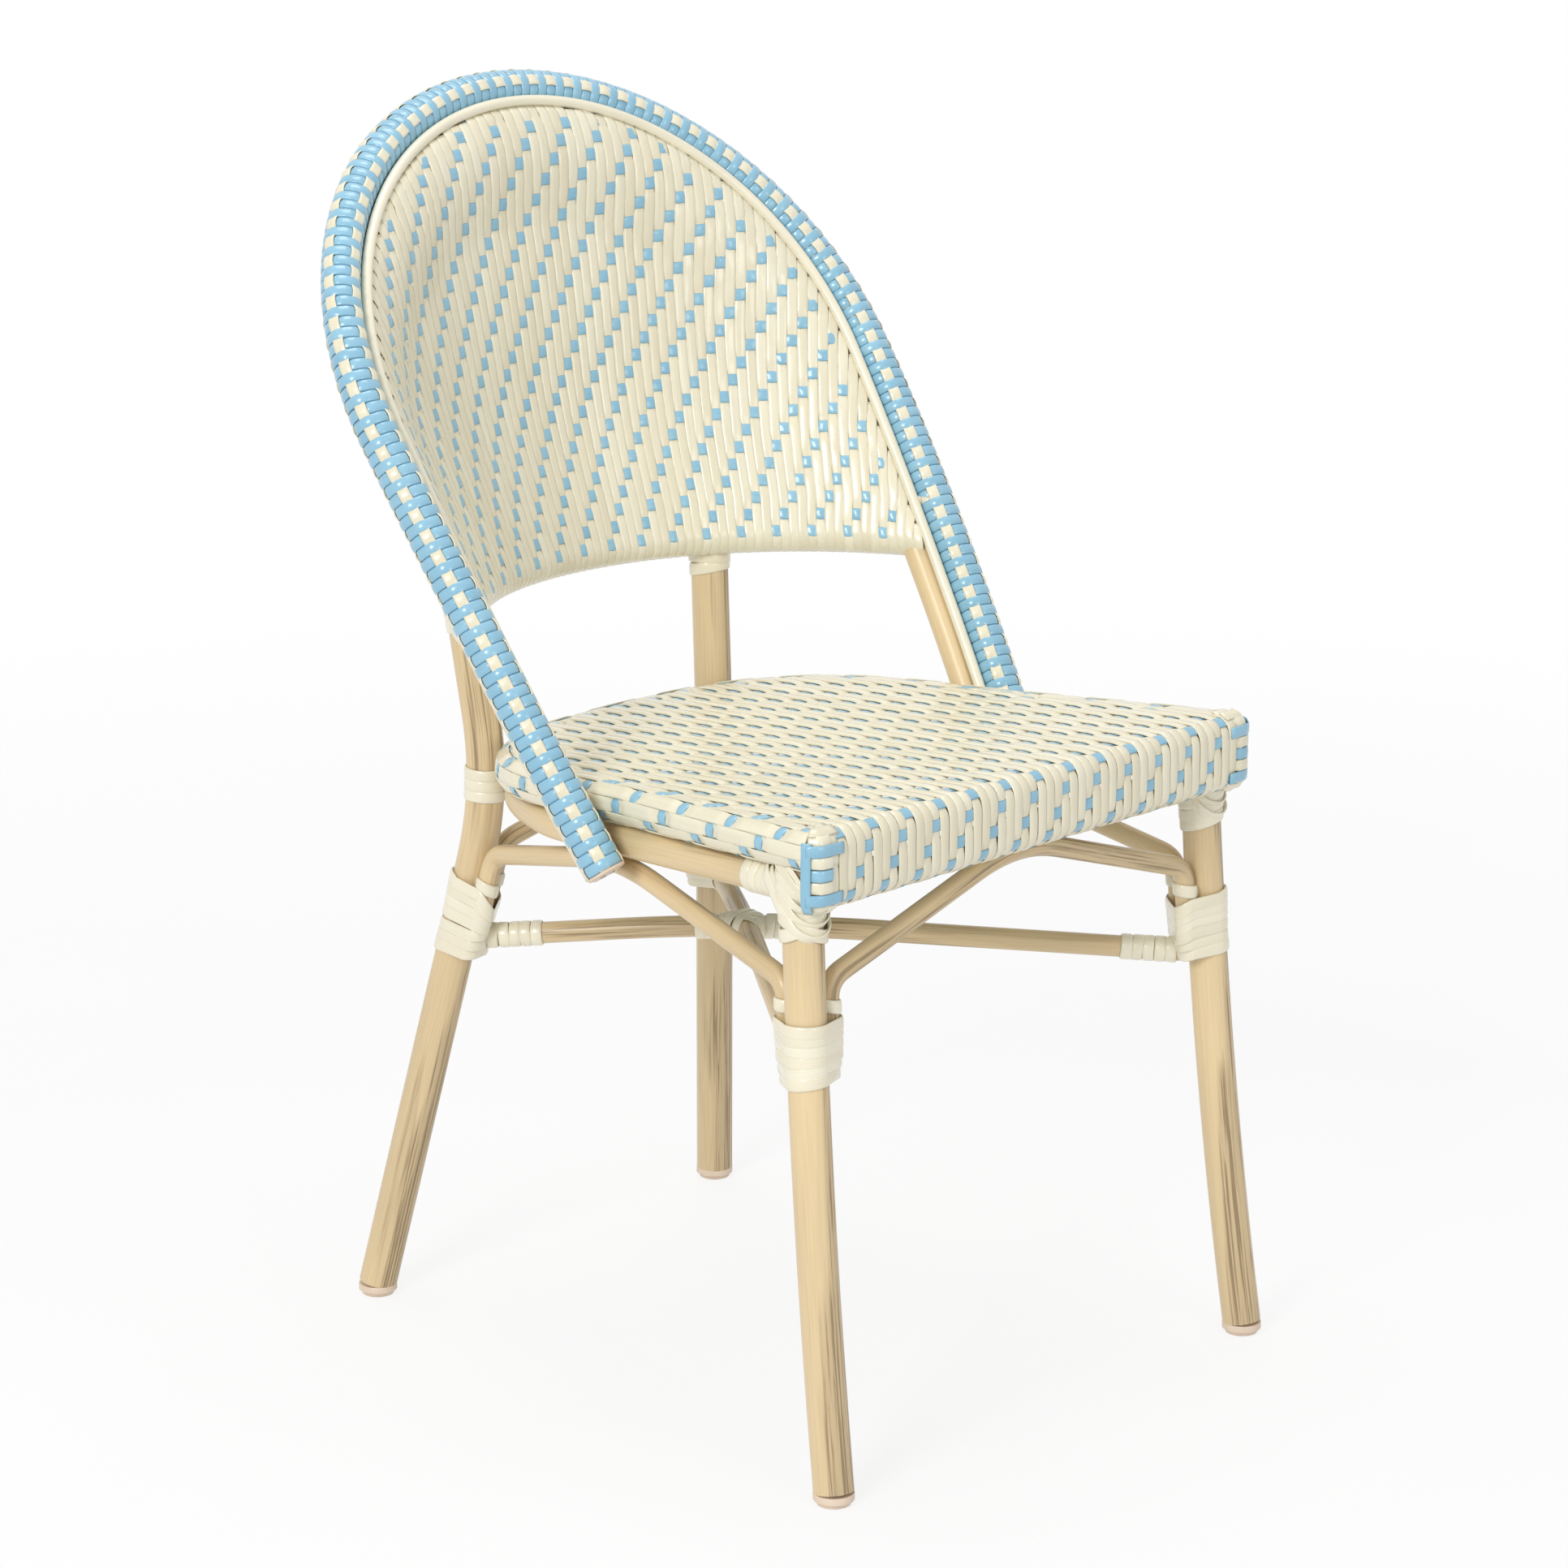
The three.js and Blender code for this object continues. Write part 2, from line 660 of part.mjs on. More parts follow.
for (const { name, stations, isFront } of legs) {
  const full = tube(stations, legRadius, legBoreRadius, legSides);
  const neighbours = isFront ? [bowCutter, barCutter, shellCutter] : [backRailCutter];
  addPiece(`${name}_leg`, cutBy(full, [floorSlab, ...neighbours]), tan);
  const foot = atHeight(stations, capHeight);
  const collar = new THREE.LatheGeometry(capProfile, legSides).rotateX(Math.PI / 2);
  collar.translate(foot.point.x, foot.point.y, 0);
  const stemStart = foot.point.clone().addScaledVector(foot.direction, -capPadHeight);
  const stemEnd = foot.point.clone().addScaledVector(foot.direction, capStemLength);
  const stem = rod([stemStart, stemEnd], stemRadius(legBoreRadius), rodSides);
  addPiece(`${name}_foot_cap`, joined(collar, stem), plastic);
}

// Back: arch tubes, braid, piping, lower rail and woven panel
addPiece("back_arch_inner_tube", archTube, tan);
addPiece("back_arch_outer_tube", tube(outerArch, braidRadius - braidThickness - clearance, coreBore), tan);
const braidBore = braidRadius - braidThickness;
addPiece("back_arch_braid", tube(outerArch, braidRadius, braidBore, tubeSides, tubeSides), cream);
addPiece("back_arch_front_piping", rod(archOffset(grooveOut, grooveFront), pipingRadius, pipingSides), cream);
addPiece("back_arch_rear_piping", rod(archOffset(grooveOut, -grooveFront), pipingRadius, pipingSides), cream);
addPiece("back_lower_rail", cutBy(rod(backRailPath, backRailRadius), [archCutter]), tan);
const panelSheet = thickSheet(
  panelRows.map((point) => rowArc(point.z, point.y, panelColumns)),
  backPanelThickness,
);
addPiece("back_weave", cutBy(panelSheet, [archCutter, backRailCutter]), blue);

// Plugs in the arch ends; the braided tube's plug also holds two small screws
function plugAt(end, flangeRadius, boreRadius) {
  const at = (length) => end.point.clone().addScaledVector(end.direction, length);
  const flange = rod([at(-clearance - plugFlange), at(-clearance)], flangeRadius);
  const stem = rod([at(-clearance - plugFlange / 2), at(plugStem)], stemRadius(boreRadius), rodSides);
  return joined(flange, stem);
}

function screwAt(end, offset, grow) {
  const at = (length) => end.point.clone().add(offset).addScaledVector(end.direction, length);
  const face = -clearance - plugFlange;
  const head = rod([at(face - clearance - screwHead.height), at(face - clearance + grow)], screwHead.radius);
  const shank = rod([at(face - clearance - grow), at(face + screwShank.length + grow)], screwShank.radius + grow);
  return { head, shank };
}

for (const { label, side } of sides) {
  const ends = [innerArch, outerArch].map((stations) => {
    const { point, direction } = atLength(stations, 0);
    return { point: mirrored([point], side)[0], direction: mirrored([direction], side)[0] };
  });
  addPiece(`${label}_inner_tube_plug`, plugAt(ends[0], archTubeRadius, archTubeBore), plastic);
  const across = archFront.clone().cross(ends[1].direction).normalize().multiplyScalar(screwSpread);
  const offsets = [across, across.clone().negate()];
  const holes = offsets.map((offset) => screwAt(ends[1], offset, clearance).shank);
  addPiece(`${label}_braided_tube_plug`, cutBy(plugAt(ends[1], braidRadius, coreBore), holes), plastic);
  offsets.forEach((offset, i) => {
    const { head, shank } = screwAt(ends[1], offset, 0);
    addPiece(`${label}_braid_screw_${i + 1}`, joined(head, shank), steel);
  });
}

// Arched braces, each end running up beside a leg inside its lashing
function besideLeg(leg, toward, z) {
  const { point, direction } = atHeight(leg.stations, z);
  const out = toward.clone().addScaledVector(direction, -toward.dot(direction)).normalize();
  return point.addScaledVector(out, legRadius + braceRadius + clearance);
}

function lashingOf(leg) {
  return leg.isFront ? frontLashing : rearLashing;
}

const lashedMembers = new Map(legs.map((leg) => [leg.name, []]));

function addBrace(name, from, to, apex) {
  const ends = [from, to].map((leg, i) => {
    const other = i === 0 ? to : from;
    const { z, turns } = lashingOf(leg);
    const half = (turns * (stripWidth + stripGap) + stripWidth) / 2;
    const toward = atHeight(other.stations, z).point.sub(atHeight(leg.stations, z).point).normalize();
    lashedMembers.get(leg.name).push({ point: besideLeg(leg, toward, z), radius: braceRadius });
    return [besideLeg(leg, toward, z - half), besideLeg(leg, toward, z + half + braceElbowRise)];
  });
  const rises = ends.map(([, elbow]) => (apex.z - elbow.z) / apex.distanceTo(elbow));
  const corner = apex.clone();
  corner.z += (braceApexBend * (rises[0] + rises[1])) / 4;
  const corners = [...ends[0], corner, ...ends[1].reverse()];
  const stations = bentPath(corners, [braceEndBend, braceApexBend, braceEndBend]);
  addPiece(name, rod(stations, braceRadius, rodSides), tan);
}

for (const { label, side } of sides) {
  const apex = new THREE.Vector3(side * sideBraceApex.halfSpan, sideBraceApex.y, sideBraceApex.z);
  addBrace(`${label}_side_brace`, legNamed(`front_${label}`), legNamed(`rear_${label}`), apex);
}
const frontApex = new THREE.Vector3(0, frontBraceApex.y, frontBraceApex.z);
addBrace("front_brace", legNamed("front_right"), legNamed("front_left"), frontApex);
const rearApex = new THREE.Vector3(0, rearBraceApex.y, rearBraceApex.z);
addBrace("rear_brace", legNamed("rear_right"), legNamed("rear_left"), rearApex);

// Crossed stretchers: one long, the other in two halves that butt against it
const crossing = new THREE.Vector3(0, stretcherCross.y, stretcherCross.z);

function stretcherPath(rearLeg, frontLeg) {
  const start = atHeight(rearLeg.stations, rearStretcherHeight).point;
  const end = atHeight(frontLeg.stations, frontStretcherHeight).point;
  return bentPath([start, crossing, end], [stretcherBend]);
}

const longPath = stretcherPath(legNamed("rear_right"), legNamed("front_left"));
const longCutter = rod(longPath, stretcherRadius + clearance, tubeSides);
addPiece("long_stretcher", cutBy(rod(longPath, stretcherRadius), legCutters), tan);
const shortPath = stretcherPath(legNamed("rear_left"), legNamed("front_right"));
const middle = Math.floor(shortPath.length / 2);
const halves = [
  { name: "rear_half_stretcher", stations: shortPath.slice(0, middle + 1) },
  { name: "front_half_stretcher", stations: shortPath.slice(middle) },
];
for (const { name, stations } of halves) {
  addPiece(name, cutBy(rod(stations, stretcherRadius), [...legCutters, longCutter]), tan);
}

// Lashings of flat strip
for (const leg of legs) {
  const { z, turns } = lashingOf(leg);
  const { point, direction } = atHeight(leg.stations, z);
  const members = [{ point, radius: legRadius }, ...lashedMembers.get(leg.name)];
  addWinding(`${leg.name}_leg_lashing`, { centre: point, axis: direction, members, turns });
}

const stretcherEnds = [
  { name: "rear_right", stations: longPath },
  { name: "front_left", stations: [...longPath].reverse() },
  { name: "rear_left", stations: shortPath },
  { name: "front_right", stations: [...shortPath].reverse() },
];
for (const { name, stations } of stretcherEnds) {
  const { point, direction } = atLength(stations, stretcherLashing.along);
  const members = [{ point, radius: stretcherRadius }];
  const turns = stretcherLashing.turns;
  addWinding(`${name}_stretcher_lashing`, { centre: point, axis: direction, members, turns });
}

const crossingLength = longPath.slice(0, middle + 1).reduce((sum, station, i) => {
  return i === 0 ? 0 : sum + station.distanceTo(longPath[i - 1]);
}, 0);
const crossingSides = [
  { label: "rear", length: crossingLength - crossingLashing.along },
  { label: "front", length: crossingLength + crossingLashing.along },
];
for (const { label, length } of crossingSides) {
  const { point, direction } = atLength(longPath, length);
  const members = [{ point, radius: stretcherRadius }];
  const turns = crossingLashing.turns;
  addWinding(`crossing_${label}_lashing`, { centre: point, axis: direction, members, turns });
}

for (const { label, side } of sides) {
  const front = atHeight(legNamed(`front_${label}`).stations, frontCornerLashing.z);
  addWinding(`front_${label}_corner_lashing`, {
    centre: front.point,
    axis: front.direction,
    members: [{ point: front.point, radius: legRadius }],
    turns: frontCornerLashing.turns,
  });
  const rail = atLength(mirrored(railHalf, side), railLashing.along);
  addWinding(`${label}_rail_lashing`, {
    centre: rail.point,
    axis: rail.direction,
    members: [{ point: rail.point, radius: railRadius }],
    turns: railLashing.turns,
  });
  const top = atHeight(legNamed(`rear_${label}`).stations, backRailLashing.z);
  addWinding(`${label}_back_rail_lashing`, {
    centre: top.point,
    axis: top.direction,
    members: [{ point: top.point, radius: legRadius }],
    turns: backRailLashing.turns,
  });
}

// Straps round the backs of the rear legs, at the seat
const strapInner = (legRadius + clearance) / Math.cos(Math.PI / (2 * tubeSides));
const strapHalf = THREE.MathUtils.degToRad(strap.halfWrap);
const strapArc = (radius) => {
  return Array.from({ length: tubeSides + 1 }, (unused, i) => {
    const angle = THREE.MathUtils.lerp(-strapHalf, strapHalf, i / tubeSides);
    return new THREE.Vector2(radius * Math.cos(angle), radius * Math.sin(angle));
  });
};
const strapOutline = [...strapArc(strapInner + stripThickness), ...strapArc(strapInner).reverse()];

for (const { label } of sides) {
  const stations = betweenHeights(legNamed(`rear_${label}`).stations, strap.bottom, strap.top);
  const normals = stations.map((station) => new THREE.Vector3(station.x, station.y, 0).normalize());
  const band = sweep(stations, strapOutline, { normals });
  addPiece(`rear_${label}_seat_strap`, cutBy(band, [railCutter]), cream);
}

chair.updateMatrixWorld(true);
const box = new THREE.Box3().setFromObject(chair);
chair.position.y = -(box.min.y + box.max.y) / 2;

export default chair;
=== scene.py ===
# Bistro chair with a woven seat and back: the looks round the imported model.
# Shapes are drawn in millimetres and laid down in metres; left is the sitter's left, +X.

import bisect
import math
import random

import bmesh
import bpy
from mathutils import Matrix, Vector, kdtree


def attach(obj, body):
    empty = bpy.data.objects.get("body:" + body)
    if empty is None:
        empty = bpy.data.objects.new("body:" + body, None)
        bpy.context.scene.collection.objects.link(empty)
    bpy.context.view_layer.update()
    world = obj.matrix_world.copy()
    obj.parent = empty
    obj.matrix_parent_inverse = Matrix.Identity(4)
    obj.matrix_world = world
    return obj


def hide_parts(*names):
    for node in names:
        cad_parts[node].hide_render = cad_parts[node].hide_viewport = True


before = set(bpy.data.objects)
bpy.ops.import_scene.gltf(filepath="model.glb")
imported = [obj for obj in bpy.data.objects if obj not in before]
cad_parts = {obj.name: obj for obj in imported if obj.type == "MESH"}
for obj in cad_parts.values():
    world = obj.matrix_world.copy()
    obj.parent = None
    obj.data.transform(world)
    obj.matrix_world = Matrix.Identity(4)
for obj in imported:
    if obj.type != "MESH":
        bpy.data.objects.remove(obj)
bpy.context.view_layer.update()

MM = 0.001
SHIFT = Vector((0.0, -18.3434, 0.0))
UP = Vector((0.0, 0.0, 1.0))
ACROSS = Vector((1.0, 0.0, 0.0))
SIDES = {"left": 1, "right": -1}

# Camera, set to the photograph's angle
CAMERA_PLACE = Vector((-2417.7, -2343.8, 1349.1))
CAMERA_TURN = math.radians(-45.9)
CAMERA_TILT = math.radians(15.73)
CAMERA_ROLL = math.radians(0.25)
LENS = 114.2
SENSOR = 36.0

# Legs and foot caps; a cap's profile is pairs of a height and a radius
LEG_RADIUS = 13.75
FRONT_LEG = [(213, -257, 0), (204.5, -222, 220), (200.6, -211, 440)]
REAR_LEG = [(176, 243.5, 0), (112, 180, 384), (123, 197, 527)]
REAR_BEND = 55
LEG_TOPS = {"front": 432, "rear": 519.5}
CAP_TOP = 8.5
CAP_PROFILE = [
    (0.0, 10.2), (0.6, 11.5), (1.4, 11.8), (3.0, 11.9), (3.4, 13.4), (3.8, 14.0), (8.0, 14.0), (8.5, 13.6)
]

# Seat: its outline, the rolls at its edges, and the places and sizes of its strands
SEAT_FRONT = -243.5
SEAT_HALF = 225
SEAT_HEIGHT = 457.5
SEAT_SLOPE = 0.075
SEAT_SIDE = [(193, -30), (188, 40), (171, 103), (146, 138), (112, 163), (60, 178), (0, 182)]
SEAT_TUBE = 9.6
CORNER_RADIUS = 14
ROLL = 12.8
QUARTER_ROLL = ROLL * math.pi / 2
APRON_ROLL = 14
APRON_DEPTH = 55
APRON_TUBE = 10.9
STRAND_PITCH = 8.04
STRAND_SHIFT = -1.8
STRAND_REACH = 203
STRAND_STOP = 11
WEFTS = range(-5, 25)
WEFT_PITCH = 16.7
FIRST_WEFT = -222
APRON_WEFTS = {-1: -8.0, -2: -23.0, -3: -39.0, -4: -54.0, -5: -69.0}
WEFT_REACH = 199
WEFT_STOP = 10
WEFT_SHARE = 0.55
LIFT = 0.75
TOP_LIFT = 1.4
EDGE_FROM = -225
BAND_ROWS = [(-2.0, 10.8), (9.0, 10.6), (18.8, 10.0), (28.0, 9.2), (36.6, 8.6)]
BAND_PITCH = 17.7
BAND_LIFT = 0.9
BAND_HOLD = 0.22

# Front corners of the seat: heights of the bands, strips on the top (inset and height), and the upright
# blue strand (height and how far it tucks in)
CORNER_HEIGHTS = (454.0, 446.5, 438.5, 430.0, 421.7, 413.5, 407.5)
CORNER_STRIPS = ((7.5, 457.3), (14.5, 457.6))
SPINE_PLACES = [(452, 1.2), (449, 0.3), (442, 0), (430, 0), (418, 0), (411, 0.6), (406, 3.0), (403.5, 6.0)]
TUCK_FROM = 416.5

# Rails
RAIL_RADIUS = 11.2
RAIL_DROP = 39.9
RAIL_SIDE = [(176.5, -20), (169, 48), (153, 91), (130, 130), (107, 152), (60, 166), (0, 170)]

# Arch and its braid
LEAN = math.radians(33.4)
ARCH_HALF = 220.5
ARM_LENGTH = 326.5
ARM_BEND = 2065.0
ARCH_FOOT = (-22.0, 382.0)
ARCH_UP = Vector((0.0, math.sin(LEAN), math.cos(LEAN)))
ARCH_FRONT = Vector((0.0, -math.cos(LEAN), math.sin(LEAN)))
ARCH_STEP = 4.0
ARCH_TWIST = math.radians(49)
ARCH_TUBE = 10.5
PAIR_SPACING = 24.8
GROOVE_OUT = 10.06
GROOVE_FRONT = 10.85
PIPING = 4.0
BRAID_RADIUS = 13.1
BRAID_PITCH = 8.05
BRAID_ANGLES = [-86.8, 0.0, 86.8]
BRAID_STEPS = 28
BRAID_END = 13.9

# Back: the lower rail, the middle line of the panel, its rows, and the strands' spacing by height
BACK_RAIL = 12.0
BACK_RAIL_Z = 531.0
SPINE = [(213, 531), (250, 640), (242, 740), (279.2, 838.8)]
ROW_FIRST = 535.6
ROW_PITCH = 11.7
ROWS = 27
ROW_STEPS = 3
STRAND_FAN = [
    (535.6, 6.94), (559, 7.13), (584, 7.21), (606, 7.28), (660, 7.6), (715, 7.95), (783, 8.35), (850, 8.7)
]
BACK_LIFT = 0.7
BACK_STANDOFF = 0.3
EDGE_STOP = 8.5
TUBE_FACE = ARCH_TUBE + 1.1
LIFT_START = -75.0
LIFT_END = -3.5
RAIL_TURN = (-215, -195, -170, -145, -120, -95, -70, -45, -20, 0)

# Braces and stretchers
BRACE_RADIUS = 7.25
BRACE_APEXES = {
    "left_side_brace": (("front_left", "rear_left"), Vector((174, -15, 381.9))),
    "right_side_brace": (("front_right", "rear_right"), Vector((-174, -15, 381.9))),
    "front_brace": (("front_right", "front_left"), Vector((0, -221, 399.6))),
    "rear_brace": (("rear_right", "rear_left"), Vector((0, 160, 370))),
}
BRACE_BEND = 42
STRETCHER_RADIUS = 7.75
STRETCHER_ENDS = {"front": 281, "rear": 273}
CROSSING = Vector((0, 36, 291))

# Lashings: heights and slants of the strips, by place; slants are seen from the camera's side
LASHING_HEIGHTS = {"front": 315.0, "rear": 309.5}
LASHING_HALF = 20.5
STRIP_THICK = 1.3
LOOP_STEPS = 36
CAMERA_RIGHT = math.atan2(0.718, -0.696) + math.pi / 2
LEG_BANDS = {
    "front_right": [(299.5, 0.4), (307.0, -0.5), (314.0, 0.3), (319.5, -0.4)],
    "front_left": [(299.5, 3.6), (307.0, 4.4), (313.5, 3.6), (319.5, 4.4)],
    "rear_right": [(290.5, -1.5), (298.0, -3.0), (303.5, -6.0), (308.0, -9.0)],
    "rear_left": [(293.0, 1.0), (300.5, 0.2), (308.0, -0.8), (315.0, 0.6)],
}
ROOT_BANDS = {"front": (11.5, 4.5), "rear": (10.5, 2.5, -4.5)}
BRACE_BANDS = {"front": 37, "rear": 30}
CORNER_BANDS = {
    "left": [(379, 3.6), (387, 4.4), (395, 3.8)],
    "right": [(398, 1.0), (389.5, 7.0), (388.5, -7.0)],
}
CORNER_FAN = [(0.5, -11.0), (0.5, -7.0), (0.52, -2.0), (0.52, 3.0), (0.5, 8.0), (0.48, 12.5)]


# Curves


def vectors(points):
    return [Vector(point) for point in points]


def share_of(low, high, value):
    """How far a value is from low to high, kept from 0 to 1."""
    return min(max((value - low) / (high - low), 0.0), 1.0)


def smoothstep(low, high, value):
    share = share_of(low, high, value)
    return share * share * (3 - 2 * share)


def read_off(table, value):
    """The value that a table of pairs gives between its rows."""
    for (a, low), (b, high) in zip(table, table[1:]):
        if value <= b:
            return low + (high - low) * (value - a) / (b - a)
    return table[-1][1]


def arc_through(a, b, c, steps):
    """A quadratic curve from a to c, drawn towards b."""
    shares = [i / steps for i in range(steps + 1)]
    return [a * (1 - t) ** 2 + b * 2 * t * (1 - t) + c * t * t for t in shares]


def bent(corners, reaches, steps=10, run=25.0):
    """Straight runs joined by rounded bends, with stations along the runs."""
    bends = [[corners[0]]]
    for before, corner, after, reach in zip(corners, corners[1:], corners[2:], reaches):
        start = corner + (before - corner).normalized() * reach
        end = corner + (after - corner).normalized() * reach
        bends.append(arc_through(start, corner, end, steps))
    bends.append([corners[-1]])
    path = []
    for bend, following in zip(bends, bends[1:]):
        path += bend
        gap = following[0] - bend[-1]
        count = int(gap.length / run)
        path += [bend[-1] + gap * ((i + 1) / (count + 1)) for i in range(count)]
    return path + bends[-1]


def smooth_through(points, steps):
    """A smooth curve through points in order."""
    path = []
    last = len(points) - 1
    for i in range(last):
        p0, p1, p2, p3 = points[max(i - 1, 0)], points[i], points[i + 1], points[min(i + 2, last)]
        chord = (p2 - p1).length
        slope_in = (p2 - p0).normalized() * chord
        slope_out = (p3 - p1).normalized() * chord
        for k in range(steps):
            t = k / steps
            path.append(
                p1 * (2 * t**3 - 3 * t**2 + 1)
                + slope_in * (t**3 - 2 * t**2 + t)
                + p2 * (3 * t**2 - 2 * t**3)
                + slope_out * (t**3 - t**2)
            )
    return path + [points[-1]]


def mirrored(points, side=-1):
    return [Vector((side * p.x, p.y, p.z)) for p in points]


def whole(half):
    return half + mirrored(half)[::-1][1:]


def tangents(path):
    last = len(path) - 1
    return [(path[min(i + 1, last)] - path[max(i - 1, 0)]).normalized() for i in range(last + 1)]


def leftward(line):
    """Level direction to the left of a line."""
    return Vector((-line.y, line.x, 0))


def runs_of(path):
    """Distance along a path at each of its points."""
    runs = [0.0]
    for a, b in zip(path, path[1:]):
        runs.append(runs[-1] + (b - a).length)
    return runs


def step_at(runs, distance):
    """Which step of a path a distance falls on, and the share of the step before it."""
    i = min(max(bisect.bisect_left(runs, distance) - 1, 0), len(runs) - 2)
    return i, share_of(runs[i], runs[i + 1], distance)


def at_length(path, length):
    """Place and direction at a distance along a path."""
    i, share = step_at(runs_of(path), length)
    return path[i].lerp(path[i + 1], share), (path[i + 1] - path[i]).normalized()


def at_height(path, z):
    """Place and direction at a height on a path that climbs."""
    for below, above in zip(path, path[1:]):
        if above.z >= z:
            return below.lerp(above, (z - below.z) / (above.z - below.z)), (above - below).normalized()
    raise ValueError(z)


def nearest(path, place):
    return min(range(len(path)), key=lambda n: (path[n] - place).length)


def search_tree(points):
    tree = kdtree.KDTree(len(points))
    for i, point in enumerate(points):
        tree.insert(point, i)
    tree.balance()
    return tree


# Bars laid along stations

# Side of the tubes that is darkened with painted shade: the side to the camera's right, away from the key
# light
PAINTED_SHADE_SIDE = Vector((0.7, -0.7, 0.0))


class Piece:
    """One new piece, made of bars that are each drawn straight and then laid along their stations."""

    def __init__(self, name, slot, replaces, material, sharp=None):
        self.name = name
        self.slot = slot
        self.nodes = replaces
        self.material = material
        self.sharp = sharp
        self.mesh = bmesh.new()
        self.laid = bpy.data.meshes.new("laid_bar")
        self.chance = random.Random(name)

    def bar(self, profile, stations, closed=False):
        """Stations are (place, across, up, width, height); the profile is in shares of width and height."""
        bar = bmesh.new()
        grain = bar.verts.layers.float_vector.new("grain")
        shade = bar.verts.layers.float.new("tone")
        darkening = bar.verts.layers.float.new("painted_shade_side")
        ring = [bar.verts.new((x, y, 0.0)) for x, y in profile]
        edges = [bar.edges.new(pair) for pair in zip(ring, ring[1:] + ring[:1])]
        steps = len(stations) - 1
        bmesh.ops.spin(
            bar, geom=ring + edges, cent=(0, 0, 0), axis=(0, 0, 1), dvec=(0, 0, 1), angle=0, steps=steps
        )
        end = [vert for vert in bar.verts if round(vert.co.z) == steps]
        along = runs_of([station[0] for station in stations])
        tone = self.chance.random()
        start = Vector([self.chance.uniform(-900, 900) for _ in range(3)])
        for vert in bar.verts:
            x, y, k = vert.co.x, vert.co.y, round(vert.co.z)
            place, across, up, width, height = stations[k]
            vert[grain] = (Vector((x * width, y * height, along[k])) + start) * MM
            vert[shade] = tone
            # How far each point faces the side of the tube that gets painted shade
            vert[darkening] = (across * x + up * y).dot(PAINTED_SHADE_SIDE)
            vert.co = (place + across * (x * width) + up * (y * height) + SHIFT) * MM
        if closed:
            bmesh.ops.remove_doubles(bar, verts=bar.verts, dist=1e-7)
        else:
            bmesh.ops.contextual_create(bar, geom=ring)
            bmesh.ops.contextual_create(bar, geom=end)
        bar.to_mesh(self.laid)
        bar.free()
        self.mesh.from_mesh(self.laid)

    def turned(self, sides, foot, line, across, profile):
        """A round solid turned about a line, from pairs of a distance along it and a radius."""
        up = line.cross(across)
        self.bar(circle(sides), [(foot + line * a, across, up, r, r) for a, r in profile])

    def finish(self):
        bmesh.ops.recalc_face_normals(self.mesh, faces=self.mesh.faces)
        for face in self.mesh.faces:
            face.smooth = True
        data = bpy.data.meshes.new(self.name)
        self.mesh.to_mesh(data)
        self.mesh.free()
        bpy.data.meshes.remove(self.laid)
        if self.sharp:
            data.set_sharp_from_angle(angle=math.radians(self.sharp))
        data.materials.append(self.material)
        piece = bpy.data.objects.new(self.name, data)
        bpy.context.scene.collection.objects.link(piece)
        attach(piece, "root")
        if self.nodes:
            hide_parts(*self.nodes)


def circle(sides):
    angles = [2 * math.pi * i / sides for i in range(sides)]
    return [(math.cos(angle), math.sin(angle)) for angle in angles]


# Cross-sections in shares of width and height: woven strand, flat strand, braid band, lashing strip
STRAND = [(-0.5, -0.1), (-0.4, 0.36), (0.0, 0.5), (0.4, 0.36), (0.5, -0.1), (0.3, -0.45), (-0.3, -0.45)]
FLAT = [
    (-0.5, -0.15), (-0.44, 0.32), (-0.2, 0.5), (0.2, 0.5),
    (0.44, 0.32), (0.5, -0.15), (0.3, -0.45), (-0.3, -0.45),
]
BAND = [(-0.5, -0.3), (-0.34, 0.36), (0.0, 0.5), (0.34, 0.36), (0.5, -0.3), (0.0, -0.5)]
TAPE = [(-0.5, -0.4), (-0.45, 0.2), (-0.3, 0.5), (0.3, 0.5), (0.45, 0.2), (0.5, -0.4)]


def round_stations(path, radius):
    """Stations of a round tube, whose frames turn no more than the path does."""
    lines = tangents(path)
    across = lines[0].orthogonal().normalized()
    stations = []
    for place, line in zip(path, lines):
        across = (across - line * across.dot(line)).normalized()
        stations.append((place, across, line.cross(across), radius, radius))
    return stations


def facing_stations(path, normals, width, height, lines=None):
    """Stations of a flat strip whose upper side faces the normals."""
    stations = []
    for place, line, normal in zip(path, lines or tangents(path), normals):
        across = line.cross(normal).normalized()
        stations.append((place, across, across.cross(line), width, height))
    return stations


def over(shown, lift):
    """Height of a strand that runs over the other one, or under it."""
    return lift if shown else -lift


def wave(offsets, share, hold=0.0):
    """Height of a strand between two crossings; hold is the flat share beside each."""
    low, high = offsets
    return low + (high - low) * smoothstep(hold, 1 - hold, share)


def waves(keys, steps, hold=0.0):
    """Places and heights along a strand, from pairs of a place and a height at its crossings."""
    for (start, low), (end, high) in zip(keys, keys[1:]):
        for k in range(steps):
            yield start + (end - start) * k / steps, wave((low, high), k / steps, hold)


# Materials


def add(tree, kind, **settings):
    node = tree.nodes.new(kind)
    for label, value in settings.items():
        setattr(node, label, value)
    return node


def feed(tree, value, target):
    """Link a socket to an input, or set the input to a plain value."""
    if isinstance(value, bpy.types.NodeSocket):
        tree.links.new(value, target)
    else:
        target.default_value = value


def calculate(tree, operation, *values):
    node = add(tree, "ShaderNodeMath", operation=operation)
    for value, target in zip(values, node.inputs):
        feed(tree, value, target)
    return node.outputs[0]


def mix(tree, factor, a, b, blend="MIX"):
    node = add(tree, "ShaderNodeMix", data_type="RGBA", blend_type=blend)
    for label, value in (("Factor", factor), ("A", a), ("B", b)):
        feed(tree, value, next(s for s in node.inputs if s.name == label and s.enabled))
    return next(s for s in node.outputs if s.enabled)


def mix_shaders(tree, factor, first, second):
    node = add(tree, "ShaderNodeMixShader")
    for value, target in zip((factor, first, second), node.inputs):
        feed(tree, value, target)
    return node.outputs["Shader"]


